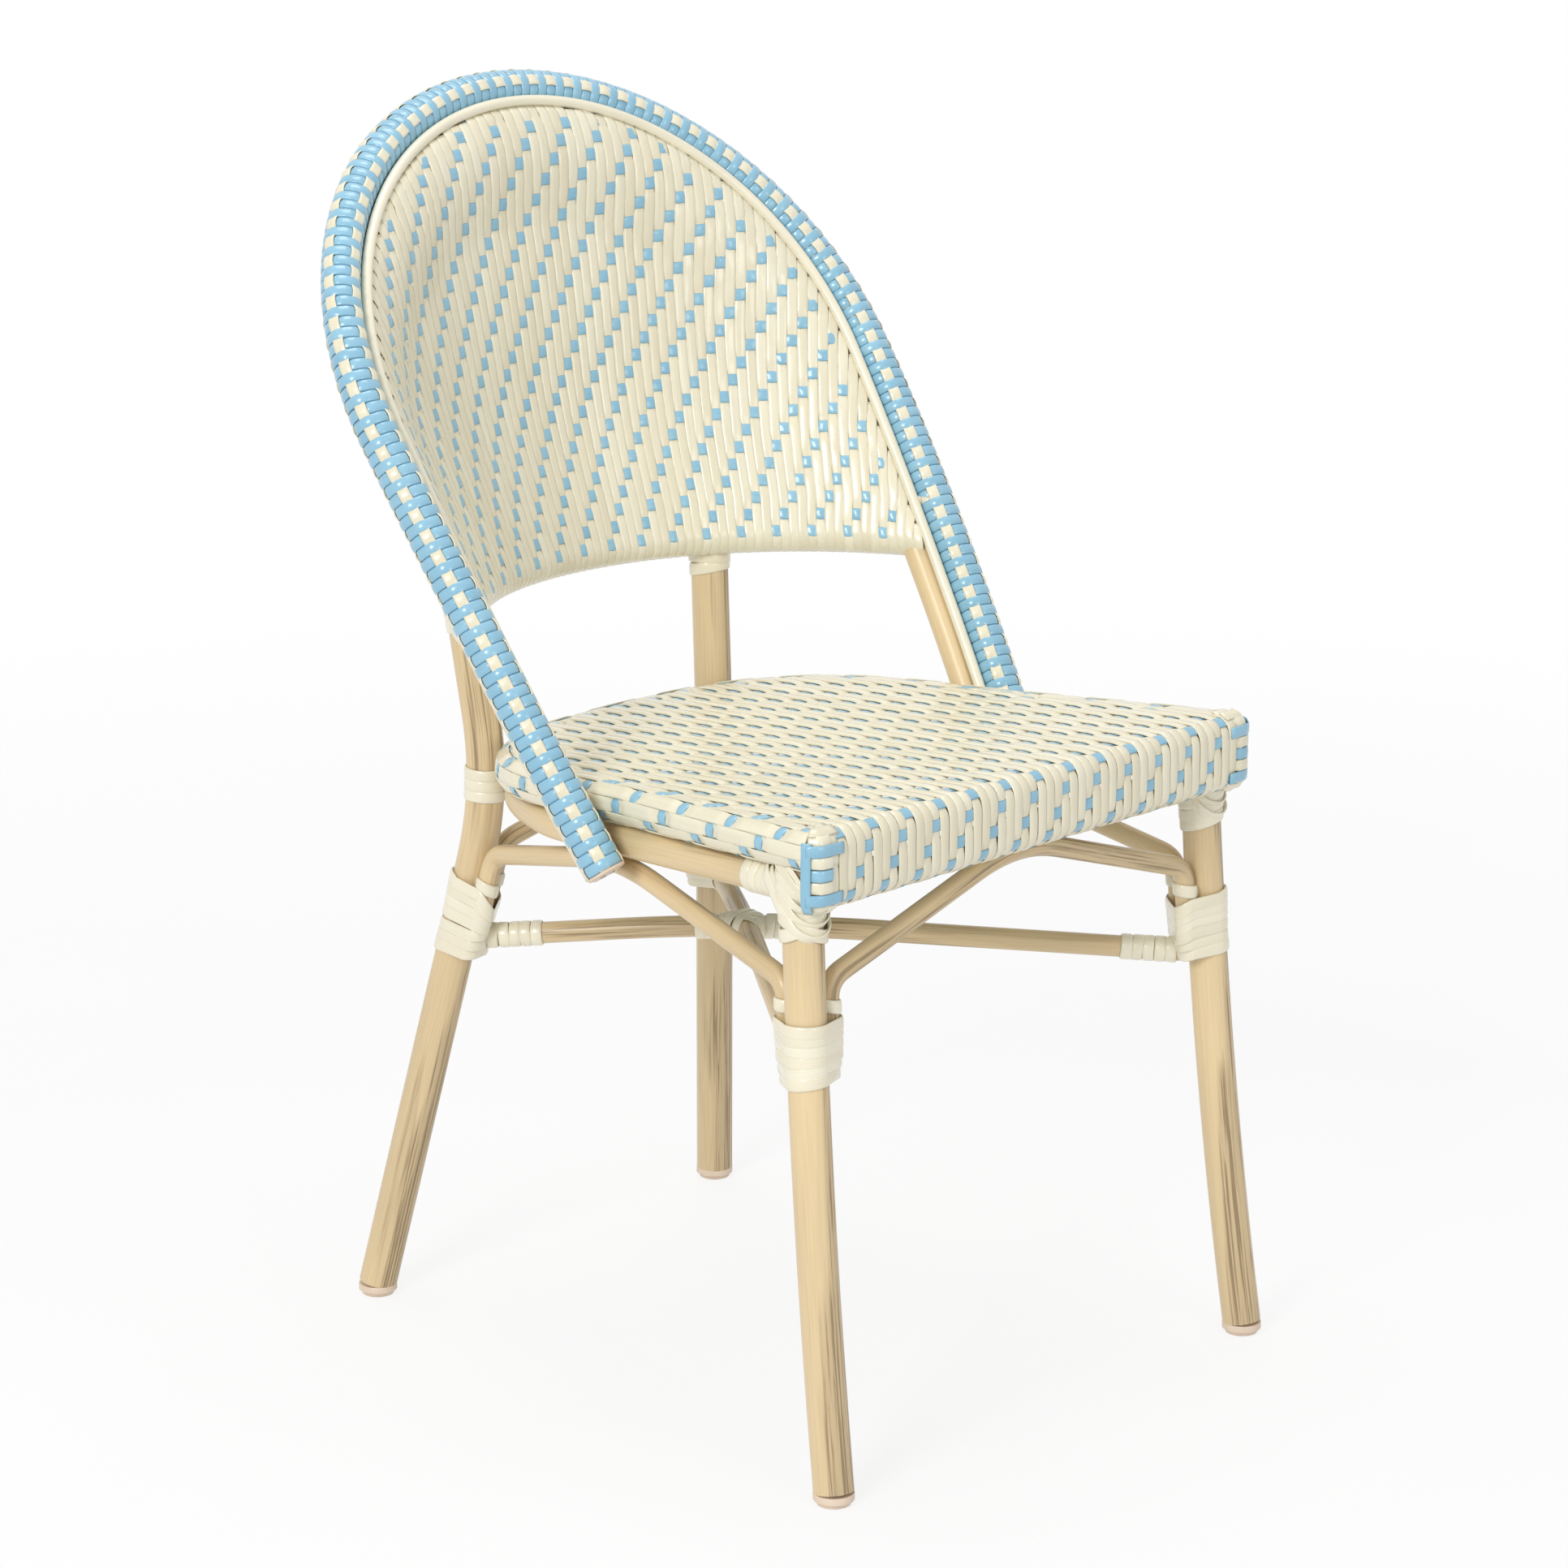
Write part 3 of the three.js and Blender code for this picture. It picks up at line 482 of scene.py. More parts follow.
def attribute(tree, name, output="Fac"):
    return add(tree, "ShaderNodeAttribute", attribute_name=name).outputs[output]


def stretched_noise(tree, vector, scale, detail, roughness=0.5):
    mapping = add(tree, "ShaderNodeMapping")
    mapping.inputs["Scale"].default_value = scale
    tree.links.new(vector, mapping.inputs["Vector"])
    noise = add(tree, "ShaderNodeTexNoise")
    for label, value in (("Scale", 1.0), ("Detail", detail), ("Roughness", roughness)):
        noise.inputs[label].default_value = value
    tree.links.new(mapping.outputs["Vector"], noise.inputs["Vector"])
    return noise.outputs["Fac"]


def ramp(tree, factor, *stops):
    """Greys between two stops, each a position and a brightness."""
    node = add(tree, "ShaderNodeValToRGB")
    for element, (position, value) in zip(node.color_ramp.elements, stops):
        element.position = position
        element.color = (value, value, value, 1.0)
    tree.links.new(factor, node.inputs["Fac"])
    return node.outputs["Color"]


def effect(name, colors, draw):
    """A node group with two colours in, and the colour, roughness and height that draw works out."""
    group = bpy.data.node_groups.new(name, "ShaderNodeTree")
    for label in colors:
        group.interface.new_socket(label, in_out="INPUT", socket_type="NodeSocketColor")
    results = (("Color", "NodeSocketColor"), ("Roughness", "NodeSocketFloat"), ("Height", "NodeSocketFloat"))
    for label, kind in results:
        group.interface.new_socket(label, in_out="OUTPUT", socket_type=kind)
    enter = add(group, "NodeGroupInput").outputs
    leave = add(group, "NodeGroupOutput").inputs
    for (label, _), value in zip(results, draw(group, *(enter[label] for label in colors))):
        group.links.new(value, leave[label])
    return group


def brushed_grain_and_painted_shade(group, paint, brush):
    """Cane look of the painted tube: fine brush lines along it, in patches, with broad shade changes, and
    painted shade that darkens one side of every tube.
    """
    grain = attribute(group, "grain", "Vector")
    lines = stretched_noise(group, grain, (540, 540, 8), 4, 0.62)
    fine = stretched_noise(group, grain, (1100, 1100, 18), 3)
    patches = stretched_noise(group, grain, (52, 52, 4.0), 2)
    broad = stretched_noise(group, grain, (20, 20, 5), 1)
    brushed = ramp(group, lines, (0.49, 0), (0.58, 1))
    # Painted shade: the patches are pushed towards one side of each tube, so that side is darker and holds
    # more brush lines
    patches_and_painted_shade = calculate(group, "MULTIPLY_ADD", attribute(group, "painted_shade_side"), 0.17, patches)
    where = ramp(group, patches_and_painted_shade, (0.475, 0), (0.565, 1))
    mask = calculate(group, "MULTIPLY", brushed, where)
    faint = ramp(group, fine, (0.4, 0), (0.75, 0.35))
    shade = ramp(group, broad, (0.3, 0.86), (0.7, 1.04))
    painted = mix(group, faint, paint, mix(group, 0.45, paint, brush))
    # The patches, and the painted shade on one side, darken the paint towards the brush colour
    stained_and_shaded = mix(group, calculate(group, "MULTIPLY", where, 0.24), painted, brush)
    streaked = mix(group, calculate(group, "MULTIPLY", mask, 0.8), stained_and_shaded, brush)
    color = mix(group, 1.0, streaked, shade, "MULTIPLY")
    return color, ramp(group, mask, (0.0, 0.38), (1.0, 0.55)), lines


def strand_tone(group, pale, deep):
    """Drawn plastic: every strand has its own shade, with faint lines along it."""
    grain = attribute(group, "grain", "Vector")
    drawn = stretched_noise(group, grain, (900, 900, 10), 2)
    cloudy = stretched_noise(group, grain, (60, 60, 22), 2)
    own = mix(group, attribute(group, "tone"), pale, mix(group, 0.6, pale, deep))
    lined = mix(group, ramp(group, drawn, (0.4, 0), (0.8, 0.5)), own, deep)
    color = mix(group, 1.0, lined, ramp(group, cloudy, (0.35, 0.97), (0.65, 1.02)), "MULTIPLY")
    return color, ramp(group, cloudy, (0.3, 0.24), (0.7, 0.34)), drawn


def moulded_speckle(group, body, darkening):
    """Moulded or turned surface: a little mottling and a fine matt texture."""
    place = add(group, "ShaderNodeTexCoord").outputs["Object"]
    mottled = stretched_noise(group, place, (90, 90, 90), 3)
    pitted = stretched_noise(group, place, (1800, 1800, 1800), 2)
    color = mix(group, ramp(group, mottled, (0.45, 0), (0.8, 0.6)), body, darkening)
    return color, ramp(group, mottled, (0.3, 0.36), (0.7, 0.5)), pitted


GRAIN_AND_SHADE = effect("brushed_grain_and_painted_shade", ("Paint", "Brush"), brushed_grain_and_painted_shade)
STRAND_TONE = effect("strand_tone", ("Pale", "Deep"), strand_tone)
SPECKLE = effect("moulded_speckle", ("Body", "Worn"), moulded_speckle)


def material(name, group, first, second, bump, depth, coat=0.0, metal=0.0):
    """A material whose group takes two colours; bump and depth are the relief's strength and distance."""
    made = bpy.data.materials.new(name)
    made.use_nodes = True
    tree = made.node_tree
    shader = tree.nodes["Principled BSDF"].inputs
    shader["Coat Weight"].default_value = coat
    shader["Coat Roughness"].default_value = 0.12
    shader["Metallic"].default_value = metal
    look = add(tree, "ShaderNodeGroup", node_tree=group)
    look.inputs[0].default_value = (*first, 1.0)
    look.inputs[1].default_value = (*second, 1.0)
    tree.links.new(look.outputs["Color"], shader["Base Color"])
    tree.links.new(look.outputs["Roughness"], shader["Roughness"])
    relief = add(tree, "ShaderNodeBump")
    relief.inputs["Strength"].default_value = bump
    relief.inputs["Distance"].default_value = depth
    tree.links.new(look.outputs["Height"], relief.inputs["Height"])
    tree.links.new(relief.outputs["Normal"], shader["Normal"])
    return made


def strand_material(name, pale, deep):
    return material(name, STRAND_TONE, pale, deep, 0.12, 0.0002, coat=0.5)


TAN_PAINT = material(
    "tan_painted_tube", GRAIN_AND_SHADE, (0.785, 0.608, 0.352), (0.25, 0.165, 0.085), 0.25, 0.0004, coat=0.15
)
CREAM = strand_material("cream_strand", (0.835, 0.79, 0.62), (0.745, 0.675, 0.485))
BLUE = strand_material("blue_strand", (0.29, 0.54, 0.69), (0.22, 0.46, 0.62))
CREAM_STRIP = strand_material("cream_strip", (0.88, 0.83, 0.665), (0.80, 0.73, 0.54))
PLASTIC = material("cap_plastic", SPECKLE, (0.76, 0.62, 0.49), (0.66, 0.52, 0.39), 0.1, 0.0001)
STEEL = material("screw_steel", SPECKLE, (0.5, 0.5, 0.52), (0.3, 0.28, 0.27), 0.15, 0.0001, metal=1.0)


def lone_tube(name, node, path, radius, sides=24):
    piece = Piece(name, "tan_painted_tube", [node], TAN_PAINT, sharp=45)
    piece.bar(circle(sides), round_stations(path, radius))
    piece.finish()


def woven(name, color, *nodes):
    return Piece(name, "blue_and_cream_weave", nodes, color)


def strip_piece(name, node):
    return Piece(name, "cream_strip", [node], CREAM_STRIP)


# Legs and foot caps

front_leg = arc_through(*vectors(FRONT_LEG), 24)
rear_leg = bent(vectors(REAR_LEG), [REAR_BEND])
LEGS = {}
for label, side in SIDES.items():
    LEGS[f"front_{label}"] = mirrored(front_leg, side)
    LEGS[f"rear_{label}"] = mirrored(rear_leg, side)


def row_of(leg):
    """Front or rear, from a leg's name."""
    return leg.split("_")[0]


for name, path in LEGS.items():
    foot, lean = at_height(path, CAP_TOP)
    top = LEG_TOPS[row_of(name)]
    shown = [point for point in path if CAP_TOP + 12 < point.z < top] + [at_height(path, top)[0]]
    lone_tube(f"{name}_leg_tube", f"{name}_leg", [foot + lean * 0.3] + shown, LEG_RADIUS)
    cap = Piece(f"{name}_rubber_foot", "cap_plastic", [f"{name}_foot_cap"], PLASTIC, sharp=50)
    cap.turned(32, Vector((foot.x, foot.y, 0.0)), UP, ACROSS, CAP_PROFILE)
    cap.finish()


# Seat outline: half of it from the front corner back to the middle of the rear

taper = math.atan2(SEAT_HALF - SEAT_SIDE[0][0], SEAT_SIDE[0][1] - SEAT_FRONT)
corner_x = SEAT_HALF - (CORNER_RADIUS + CORNER_RADIUS * math.sin(taper)) / math.cos(taper)
corner_centre = Vector((corner_x, SEAT_FRONT + CORNER_RADIUS, 0))
corner_arc = []
for i in range(7):
    angle = -math.pi / 2 + (taper + math.pi / 2) * i / 6
    corner_arc.append(corner_centre + Vector((math.cos(angle), math.sin(angle), 0)) * CORNER_RADIUS)
side_line = smooth_through([Vector((x, y, 0)) for x, y in SEAT_SIDE], 12)
straight = [corner_arc[-1].lerp(side_line[0], i / 20) for i in range(1, 20)]
edge_line = whole(corner_arc[4:] + straight + side_line)
edge_lines = tangents(edge_line)
edge_runs = runs_of(edge_line)
edge_lead = runs_of(corner_arc[4:])[-1]
edge_tree = search_tree(edge_line)


def seat_top(y):
    return SEAT_HEIGHT - SEAT_SLOPE * (y - SEAT_FRONT)


def edge_inset(x, y):
    """How far a place on the seat is from its side and rear edge."""
    point = Vector((x, y, 0))
    _, i, _ = edge_tree.find(point)
    return (point - edge_line[i]).dot(leftward(edge_lines[i]))


def front_profile(t):
    """Side view of the seat: y, z and normal, from its top (t above 0) over the front roll down the apron."""
    drop = APRON_DEPTH - ROLL - APRON_ROLL
    middle = SEAT_HEIGHT - APRON_DEPTH + APRON_ROLL
    if t > 0:
        y = SEAT_FRONT + ROLL + t
        return y, seat_top(y), UP
    if t > -QUARTER_ROLL:
        s, c = math.sin(-t / ROLL), math.cos(-t / ROLL)
        return SEAT_FRONT + ROLL - ROLL * s, SEAT_HEIGHT - ROLL + ROLL * c, Vector((0, -s, c))
    if t > -QUARTER_ROLL - drop:
        return SEAT_FRONT, SEAT_HEIGHT - ROLL + t + QUARTER_ROLL, Vector((0, -1, 0))
    angle = (-QUARTER_ROLL - drop - t) / APRON_ROLL
    if angle < math.pi / 2:
        s, c = math.sin(angle), math.cos(angle)
        return SEAT_FRONT + APRON_ROLL * (1 - c), middle - APRON_ROLL * s, Vector((0, -c, -s))
    return SEAT_FRONT + APRON_ROLL * (angle - math.pi / 2 + 1), middle - APRON_ROLL, -UP


# Seat strands: cream ones from front to rear, blue ones across

strand_numbers = [i for i in range(-26, 27) if abs(STRAND_SHIFT + STRAND_PITCH * i) < STRAND_REACH]


def strand_x(i):
    return STRAND_SHIFT + STRAND_PITCH * i


def weft_t(j):
    return APRON_WEFTS[j] if j in APRON_WEFTS else FIRST_WEFT + WEFT_PITCH * j - (SEAT_FRONT + ROLL)


def seat_blue(i, j):
    """Whether the blue strand j shows over the cream strand i."""
    return (i - 3 + j) % 4 == 0 if j >= -1 else (i - j - 1) % 4 == 0


def seat_lift(j):
    """How far strands rise and dip at a blue strand: more on the seat's top than on the apron."""
    return TOP_LIFT if j >= 0 else LIFT


def cream_stations(i, drift):
    """Stations of a cream strand, from under the apron to the seat's rear edge."""
    keys = [(-77.0, LIFT)] + [(weft_t(j), over(not seat_blue(i, j), seat_lift(j))) for j in WEFTS]
    stations = []
    for pair in zip(keys, keys[1:]):
        for t, height in waves(pair, 4 if pair[1][0] > -50 else 3):
            y, z, normal = front_profile(t)
            inset = edge_inset(strand_x(i), y) if y > EDGE_FROM else 99
            if inset < STRAND_STOP:
                return stations
            height -= 1.6 * (1 - smoothstep(STRAND_STOP, 20, inset))
            place = Vector((strand_x(i) + drift, y, z)) + normal * (height - 1.0)
            thick = 1.3 + 0.8 * smoothstep(-15, 10, t)
            stations.append((place, ACROSS, normal, STRAND_PITCH * 1.05, thick))
    return stations


seat = woven("seat_cream_strands", CREAM, "seat_weave")
for i in strand_numbers:
    drift = seat.chance.uniform(-0.35, 0.35)
    seat.bar(STRAND, cream_stations(i, drift))
seat.finish()

wefts = woven("seat_blue_strands", BLUE)
for j in WEFTS:
    y, z, normal = front_profile(weft_t(j))
    reach = WEFT_REACH
    if y > EDGE_FROM:
        while edge_inset(reach, y) < WEFT_STOP and reach > 0:
            reach -= 2
        if reach < 20:
            continue
    stations = []
    for i in strand_numbers[:-1]:
        ends = [(n, over(seat_blue(n, j), seat_lift(j))) for n in (i, i + 1)]
        for n, height in waves(ends, 4):
            if abs(strand_x(n)) <= reach:
                place = Vector((strand_x(n), y, z)) + normal * (height * WEFT_SHARE - 1.1)
                stations.append((place, ACROSS.cross(normal), normal, 8.4, 1.2))
    if len(stations) > 2:
        wefts.bar(STRAND, stations)


# Rolled side and rear edge: cream strands along it, blue strands across them


def edge_place(index, a):
    """Place and normal on the rolled edge: a runs from the top, over the roll, to the underside."""
    point, inward = edge_line[index], leftward(edge_lines[index])
    if a < QUARTER_ROLL:
        angle, gap = max(a, 0) / ROLL, 0
    else:
        angle, gap = math.pi / 2 + max(a - QUARTER_ROLL - 1, 0) / ROLL, 1
    out, rise = math.sin(angle), math.cos(angle)
    place = point + inward * (ROLL * (1 - out) + max(-a, 0))
    place.z = seat_top(point.y) - ROLL * (1 - rise) - gap
    return place, UP * rise - inward * out


def edge_at(distance, a):
    i, share = step_at(edge_runs, distance)
    p0, n0 = edge_place(i, a)
    p1, n1 = edge_place(i + 1, a)
    return p0.lerp(p1, share), n0.lerp(n1, share).normalized()


def edge_strand(piece, places, width, thick):
    """A strand on the rolled edge, from triples: distance along it, place round the roll, height."""
    path, normals = [], []
    for distance, a, height in places:
        place, normal = edge_at(distance, a)
        path.append(place + normal * (height - 0.5))
        normals.append(normal)
    piece.bar(FLAT, facing_stations(path, normals, width, thick))


# Distances along the edge where the blue strands cross it, from both front corners to the middle of the rear
edge_length = edge_runs[-1]
near_count = int((edge_length / 2 - edge_lead - 4) / BAND_PITCH) + 1
crossings = [(edge_lead + 5.0 + BAND_PITCH * m, m) for m in range(near_count)]
crossings += [(edge_length - distance, m) for distance, m in crossings[::-1]]

edge_band = woven("seat_edge_cream_strands", CREAM)
for row, (a, width) in enumerate(BAND_ROWS):
    keys = [(0.0, 0.2)]
    keys += [(d, -LIFT if (m - row) % 3 == 0 else BAND_LIFT) for d, m in crossings]
    keys += [(edge_length, BAND_LIFT)]
    edge_strand(edge_band, [(d, a, height) for d, height in waves(keys, 8, BAND_HOLD)], width + 0.3, 1.5)
edge_band.finish()

for d, m in crossings:
    keys = [(-9.0, -1.5)]
    keys += [(a, over((m - row) % 3 == 0, LIFT)) for row, (a, _) in enumerate(BAND_ROWS)]
    keys += [(41.0, -1.2)]
    edge_strand(wefts, [(d, a, height) for a, height in waves(keys, 4)], 8.2, 1.3)


# Front corners: bands of both colours round an upright blue strand

ahead = [Vector((196.0, SEAT_FRONT, 0)), Vector((204.0, SEAT_FRONT, 0))]
beyond = [corner_arc[-1].lerp(side_line[0], share) for share in (0.03, 0.05)]
around = [point for point in smooth_through(ahead + corner_arc + beyond, 2) if point.y < -234]
around_out = [-leftward(line) for line in tangents(around)]


def corner_strand(piece, side, insets, z, faces, width):
    """A strand round a front corner at one height, from its insets and the directions that it faces."""
    path = [Vector((p.x, p.y, z)) - out * inset for p, out, inset in zip(around, around_out, insets)]
    normals = [normal.normalized() for normal in mirrored(faces, side)]
    piece.bar(STRAND, facing_stations(mirrored(path, side), normals, width, 1.5))


def band_height(n, point):
    """How far a corner band stands out: it dips under the seat's strands and the upright strand."""
    if n in (1, 5):
        return 1.3
    spine = smoothstep(-243, -239, point.y) if point.x > 215 else 0.0
    return 1.3 - 2.2 * (1 - smoothstep(203, 206, point.x)) - 2.0 * spine


corner_cream = woven("seat_corner_cream_bands", CREAM)
for side in SIDES.values():
    for n, z in enumerate(CORNER_HEIGHTS):
        tuck = APRON_ROLL * (1 - math.cos(math.asin(share_of(0, APRON_ROLL, TUCK_FROM - z))))
        sunk, tilt = (3.0, 0.45) if n == 0 else (0.0, -tuck / 6)
        insets = [0.4 + tuck + sunk - band_height(n, point) for point in around]
        faces = [out + UP * tilt for out in around_out]
        corner_strand(wefts if n % 2 else corner_cream, side, insets, z - sunk / 2, faces, 8.3)
    for inset, z in CORNER_STRIPS:
        faces = [out * (4.5 / inset) + UP for out in around_out]
        corner_strand(corner_cream, side, [inset] * len(around), z, faces, 8.4)
    out = (corner_arc[4] - corner_centre).normalized()
    upright = corner_centre + out * (CORNER_RADIUS + 0.7)
    path = [Vector((upright.x, upright.y, z)) - out * tuck for z, tuck in SPINE_PLACES]
    faces = mirrored([out] * len(path), side)
    wefts.bar(FLAT, facing_stations(mirrored(path, side), faces, 7.0, 1.3))
corner_cream.finish()
wefts.finish()


# Seat frame and rails

bow = [edge_place(index, 0.0)[0] - UP * ROLL for index in range(len(edge_line))]
front_bar = [Vector((x, SEAT_FRONT + ROLL, SEAT_HEIGHT - ROLL)) for x in (-corner_x, corner_x)]
lone_tube("seat_bow_tube", "seat_frame_bow", bow, SEAT_TUBE, 18)
lone_tube("seat_front_bar_tube", "seat_frame_front_bar", front_bar, SEAT_TUBE, 18)


def on_rail(x, y):
    return Vector((x, y, seat_top(y) - RAIL_DROP))


rail_points = [on_rail(x, y) for x, y in RAIL_SIDE]
rail_start = on_rail(*FRONT_LEG[2][:2])
rail_half = [rail_start.lerp(rail_points[0], i / 8) for i in range(8)] + smooth_through(rail_points, 8)
lone_tube("seat_side_and_rear_rail", "seat_lower_rail", whole(rail_half), RAIL_RADIUS)
apron_z = SEAT_HEIGHT - APRON_DEPTH + APRON_ROLL
front_rail = [Vector((204 - 408 * i / 12, SEAT_FRONT + APRON_ROLL, apron_z)) for i in range(13)]
lone_tube("seat_apron_rail", "seat_front_rail", front_rail, APRON_TUBE)


# Arch


def arch_point(x, along):
    return Vector((x, *ARCH_FOOT)) + ARCH_UP * along


def arm_half(along):
    """Half the arch's width on its arms, which bow a little."""
    return ARCH_HALF - (ARM_LENGTH - along) ** 2 / (2 * ARM_BEND)


count = int(ARM_LENGTH / ARCH_STEP)
arm = [arch_point(arm_half(ARM_LENGTH * i / count), ARM_LENGTH * i / count) for i in range(count)]
count = int(math.pi * ARCH_HALF / ARCH_STEP / 2) * 2
crown = []
for i in range(count + 1):
    angle = math.pi * i / count
    crown.append(arch_point(ARCH_HALF * math.cos(angle), ARM_LENGTH + ARCH_HALF * math.sin(angle)))
arch = arm + crown + mirrored(arm)[::-1]
arch_tree = search_tree(arch)

# The pair of tubes turns from outward at the crown towards forward on the arms
arch_out, arch_front = [], []
for i, line in enumerate(tangents(arch)):
    outward = line.cross(ARCH_FRONT).normalized()
    share = abs(2 * i - (len(arch) - 1)) / (len(arch) - 1)
    twist = ARCH_TWIST * smoothstep(0, 0.83, share)
    outward = outward * math.cos(twist) + ARCH_FRONT * math.sin(twist)
    arch_out.append(outward)
    arch_front.append(outward.cross(line).normalized())


def beside_arch(out, front):
    return [p + o * out + f * front for p, o, f in zip(arch, arch_out, arch_front)]


lone_tube("arch_inner_cane", "back_arch_inner_tube", arch, ARCH_TUBE)
for label, offset in (("front", GROOVE_FRONT), ("rear", -GROOVE_FRONT)):
    piping = strip_piece(f"arch_{label}_cord", f"back_arch_{label}_piping")
    piping.bar(circle(16), round_stations(beside_arch(GROOVE_OUT, offset), PIPING))
    piping.finish()

outer = beside_arch(PAIR_SPACING, 0)
outer_runs = runs_of(outer)
outer_lines = tangents(outer)


def on_braid(distance, angle, lift=0.0):
    """Place on the braid at a distance and an angle from its outer side, its direction and its line."""
    i, share = step_at(outer_runs, distance)
    line = outer_lines[i].lerp(outer_lines[i + 1], share).normalized()
    outward = arch_out[i].lerp(arch_out[i + 1], share)
    outward = (outward - line * outward.dot(line)).normalized()
    radial = outward * math.cos(angle) + outward.cross(line) * math.sin(angle)
    centre = outer[i].lerp(outer[i + 1], share)
    return centre + radial * (BRAID_RADIUS + lift), radial, line


def braid_over(band, strip):
    """Whether the blue band runs over the cream strip."""
    return (band + strip) % 2 == 0


def band_lift(band, angle):
    """How far a blue band stands out at an angle: it rises over or dips under each cream strip."""
    lift = 0.0
    for strip, degrees in enumerate(BRAID_ANGLES):
        off = (math.degrees(angle) - degrees + 180) % 360 - 180
        near = 1 - smoothstep(10, 26, abs(off))
        lift += near * (0.55 if braid_over(band, strip) else -0.75)
    return lift


band_count = round(outer_runs[-1] / BRAID_PITCH)
band_pitch = outer_runs[-1] / band_count
braid_blue = woven("arch_braid_blue_bands", BLUE, "back_arch_braid")
for band in range(band_count):
    stations = []
    for k in range(BRAID_STEPS + 1):
        angle = 2 * math.pi * k / BRAID_STEPS
        place, radial, line = on_braid((band + 0.5) * band_pitch, angle, band_lift(band, angle))
        stations.append((place, line, radial, band_pitch * 1.1, 1.5))
    braid_blue.bar(BAND, stations, closed=True)
braid_blue.finish()

braid_cream = woven("arch_braid_cream_strips", CREAM)
for strip, degrees in enumerate(BRAID_ANGLES):
    lifts = [-0.75 if braid_over(n, strip) else 0.85 for n in range(-1, band_count + 1)]
    keys = [((n - 0.5) * band_pitch, lift) for n, lift in enumerate(lifts)]
    stations = []
    for distance, height in waves(keys, 4):
        if 0 <= distance <= outer_runs[-1]:
            place, radial, line = on_braid(distance, math.radians(degrees), height)
            stations.append((place, radial.cross(line), radial, 8.4, 1.3))
    braid_cream.bar(FLAT, stations)
braid_cream.finish()


# Back panel: level rows between the arms, deepest in the middle


def cubic(points, t):
    weights = ((1 - t) ** 3, 3 * t * (1 - t) ** 2, 3 * t * t * (1 - t), t**3)
    return tuple(sum(w * p[i] for w, p in zip(weights, points)) for i in (0, 1))


spine = [cubic(SPINE, i / 120)[::-1] for i in range(121)]


def arch_half_at(z):
    along = (z - ARCH_FOOT[1]) / ARCH_UP.z
    if along < ARM_LENGTH:
        return arm_half(along)
    return math.sqrt(max(ARCH_HALF**2 - (along - ARM_LENGTH) ** 2, 0.0))


def row_shape(z):
    """Radius of a level row of the panel, and how far back its middle is."""
    arch_y = ARCH_FOOT[0] + (z - ARCH_FOOT[1]) / ARCH_UP.z * ARCH_UP.y
    middle = read_off(spine, z) if z < SPINE[-1][1] else arch_y
    half = max(arch_half_at(z), 3.0)
    depth = max(middle - arch_y, 0.02)
    return (half * half + depth * depth) / (2 * depth), middle


def on_row(shape, angle, z):
    """Place on a row, and the direction that the row faces there."""
    radius, middle = shape
    s, c = math.sin(angle), math.cos(angle)
    return Vector((radius * s, middle - radius * (1 - c), z)), Vector((-s, -c, 0))


def tube_lift(past):
    """Height of the arch tube's face over its middle plane, at a distance out past the tube's axis."""
    past = max(past, LIFT_END)
    return math.sqrt(max(TUBE_FACE * TUBE_FACE - past * past, 0.0))


def panel_place(s, z):
    """Place and row normal at an arc length s from the middle, and the distance past the arch tube."""
    shape = row_shape(z)
    place, normal = on_row(shape, s / shape[0], z)
    # The panel stands in front of its rows while it leaves the lower rail
    place += normal * ((BACK_RAIL + 0.6) * (1 - smoothstep(522, 665, z)))
    _, i, _ = arch_tree.find(place)
    past = (place - arch[i]).dot(arch_out[i])
    front = (place - arch[i]).dot(arch_front[i])
    if past < TUBE_FACE:
        share = smoothstep(LIFT_START, LIFT_END, past) * smoothstep(528, 565, z)
        place = place + arch_front[i] * ((tube_lift(past) - front) * share)
    return place, normal, past


def panel_facing(place, normal, s, s_above, z):
    """Direction up the panel at a place, and the direction that its surface faces."""
    upward = (panel_place(s_above, z + 1.5)[0] - place).normalized()
    facing = (panel_place(s + 1.5, z)[0] - place).cross(upward).normalized()
    return upward, -facing if facing.dot(normal) < 0 else facing


def fan(z):
    return read_off(STRAND_FAN, z)


def row_blue(i, k):
    """Whether the blue row k shows over the cream strand i."""
    return (i - k) % 4 == 0


def rail_wrap(i):
    """Stations of a cream strand from behind the lower rail, under it and up to the panel's first row."""
    shape = row_shape(BACK_RAIL_Z)
    rail, normal = on_row(shape, i * fan(ROW_FIRST) / shape[0], BACK_RAIL_Z)
    sideways = UP.cross(normal)
    width = fan(ROW_FIRST) * 1.08
    stations = []
    for z in (562, 553):
        place = rail + UP * (z - BACK_RAIL_Z) - normal * (2.0 + (562 - z) * 0.35)
        stations.append((place, sideways, -normal, width, 1.2))
    for degrees in RAIL_TURN:
        turn = math.radians(degrees)
        radial = normal * math.cos(turn) + UP * math.sin(turn)
        stations.append((rail + radial * (BACK_RAIL + 0.9), sideways, radial, width, 1.2))
    return stations


def panel_strand(i):
    """Stations of a cream strand up the panel, to the arch tube."""
    keys = [(ROW_FIRST + ROW_PITCH * k, over(not row_blue(i, k), BACK_LIFT)) for k in range(ROWS + 1)]
    stations = []
    for z, height in waves(keys, ROW_STEPS):
        s = i * fan(z)
        place, normal, past = panel_place(s, z)
        if past > EDGE_STOP:
            break
        line, facing = panel_facing(place, normal, s, i * fan(z + 1.5), z)
        height = height * (1 - smoothstep(-3, 5, past)) + BACK_STANDOFF
        across = line.cross(facing).normalized()
        stations.append((place + facing * height, across, facing, fan(z) * 1.08, 1.25))
    return stations


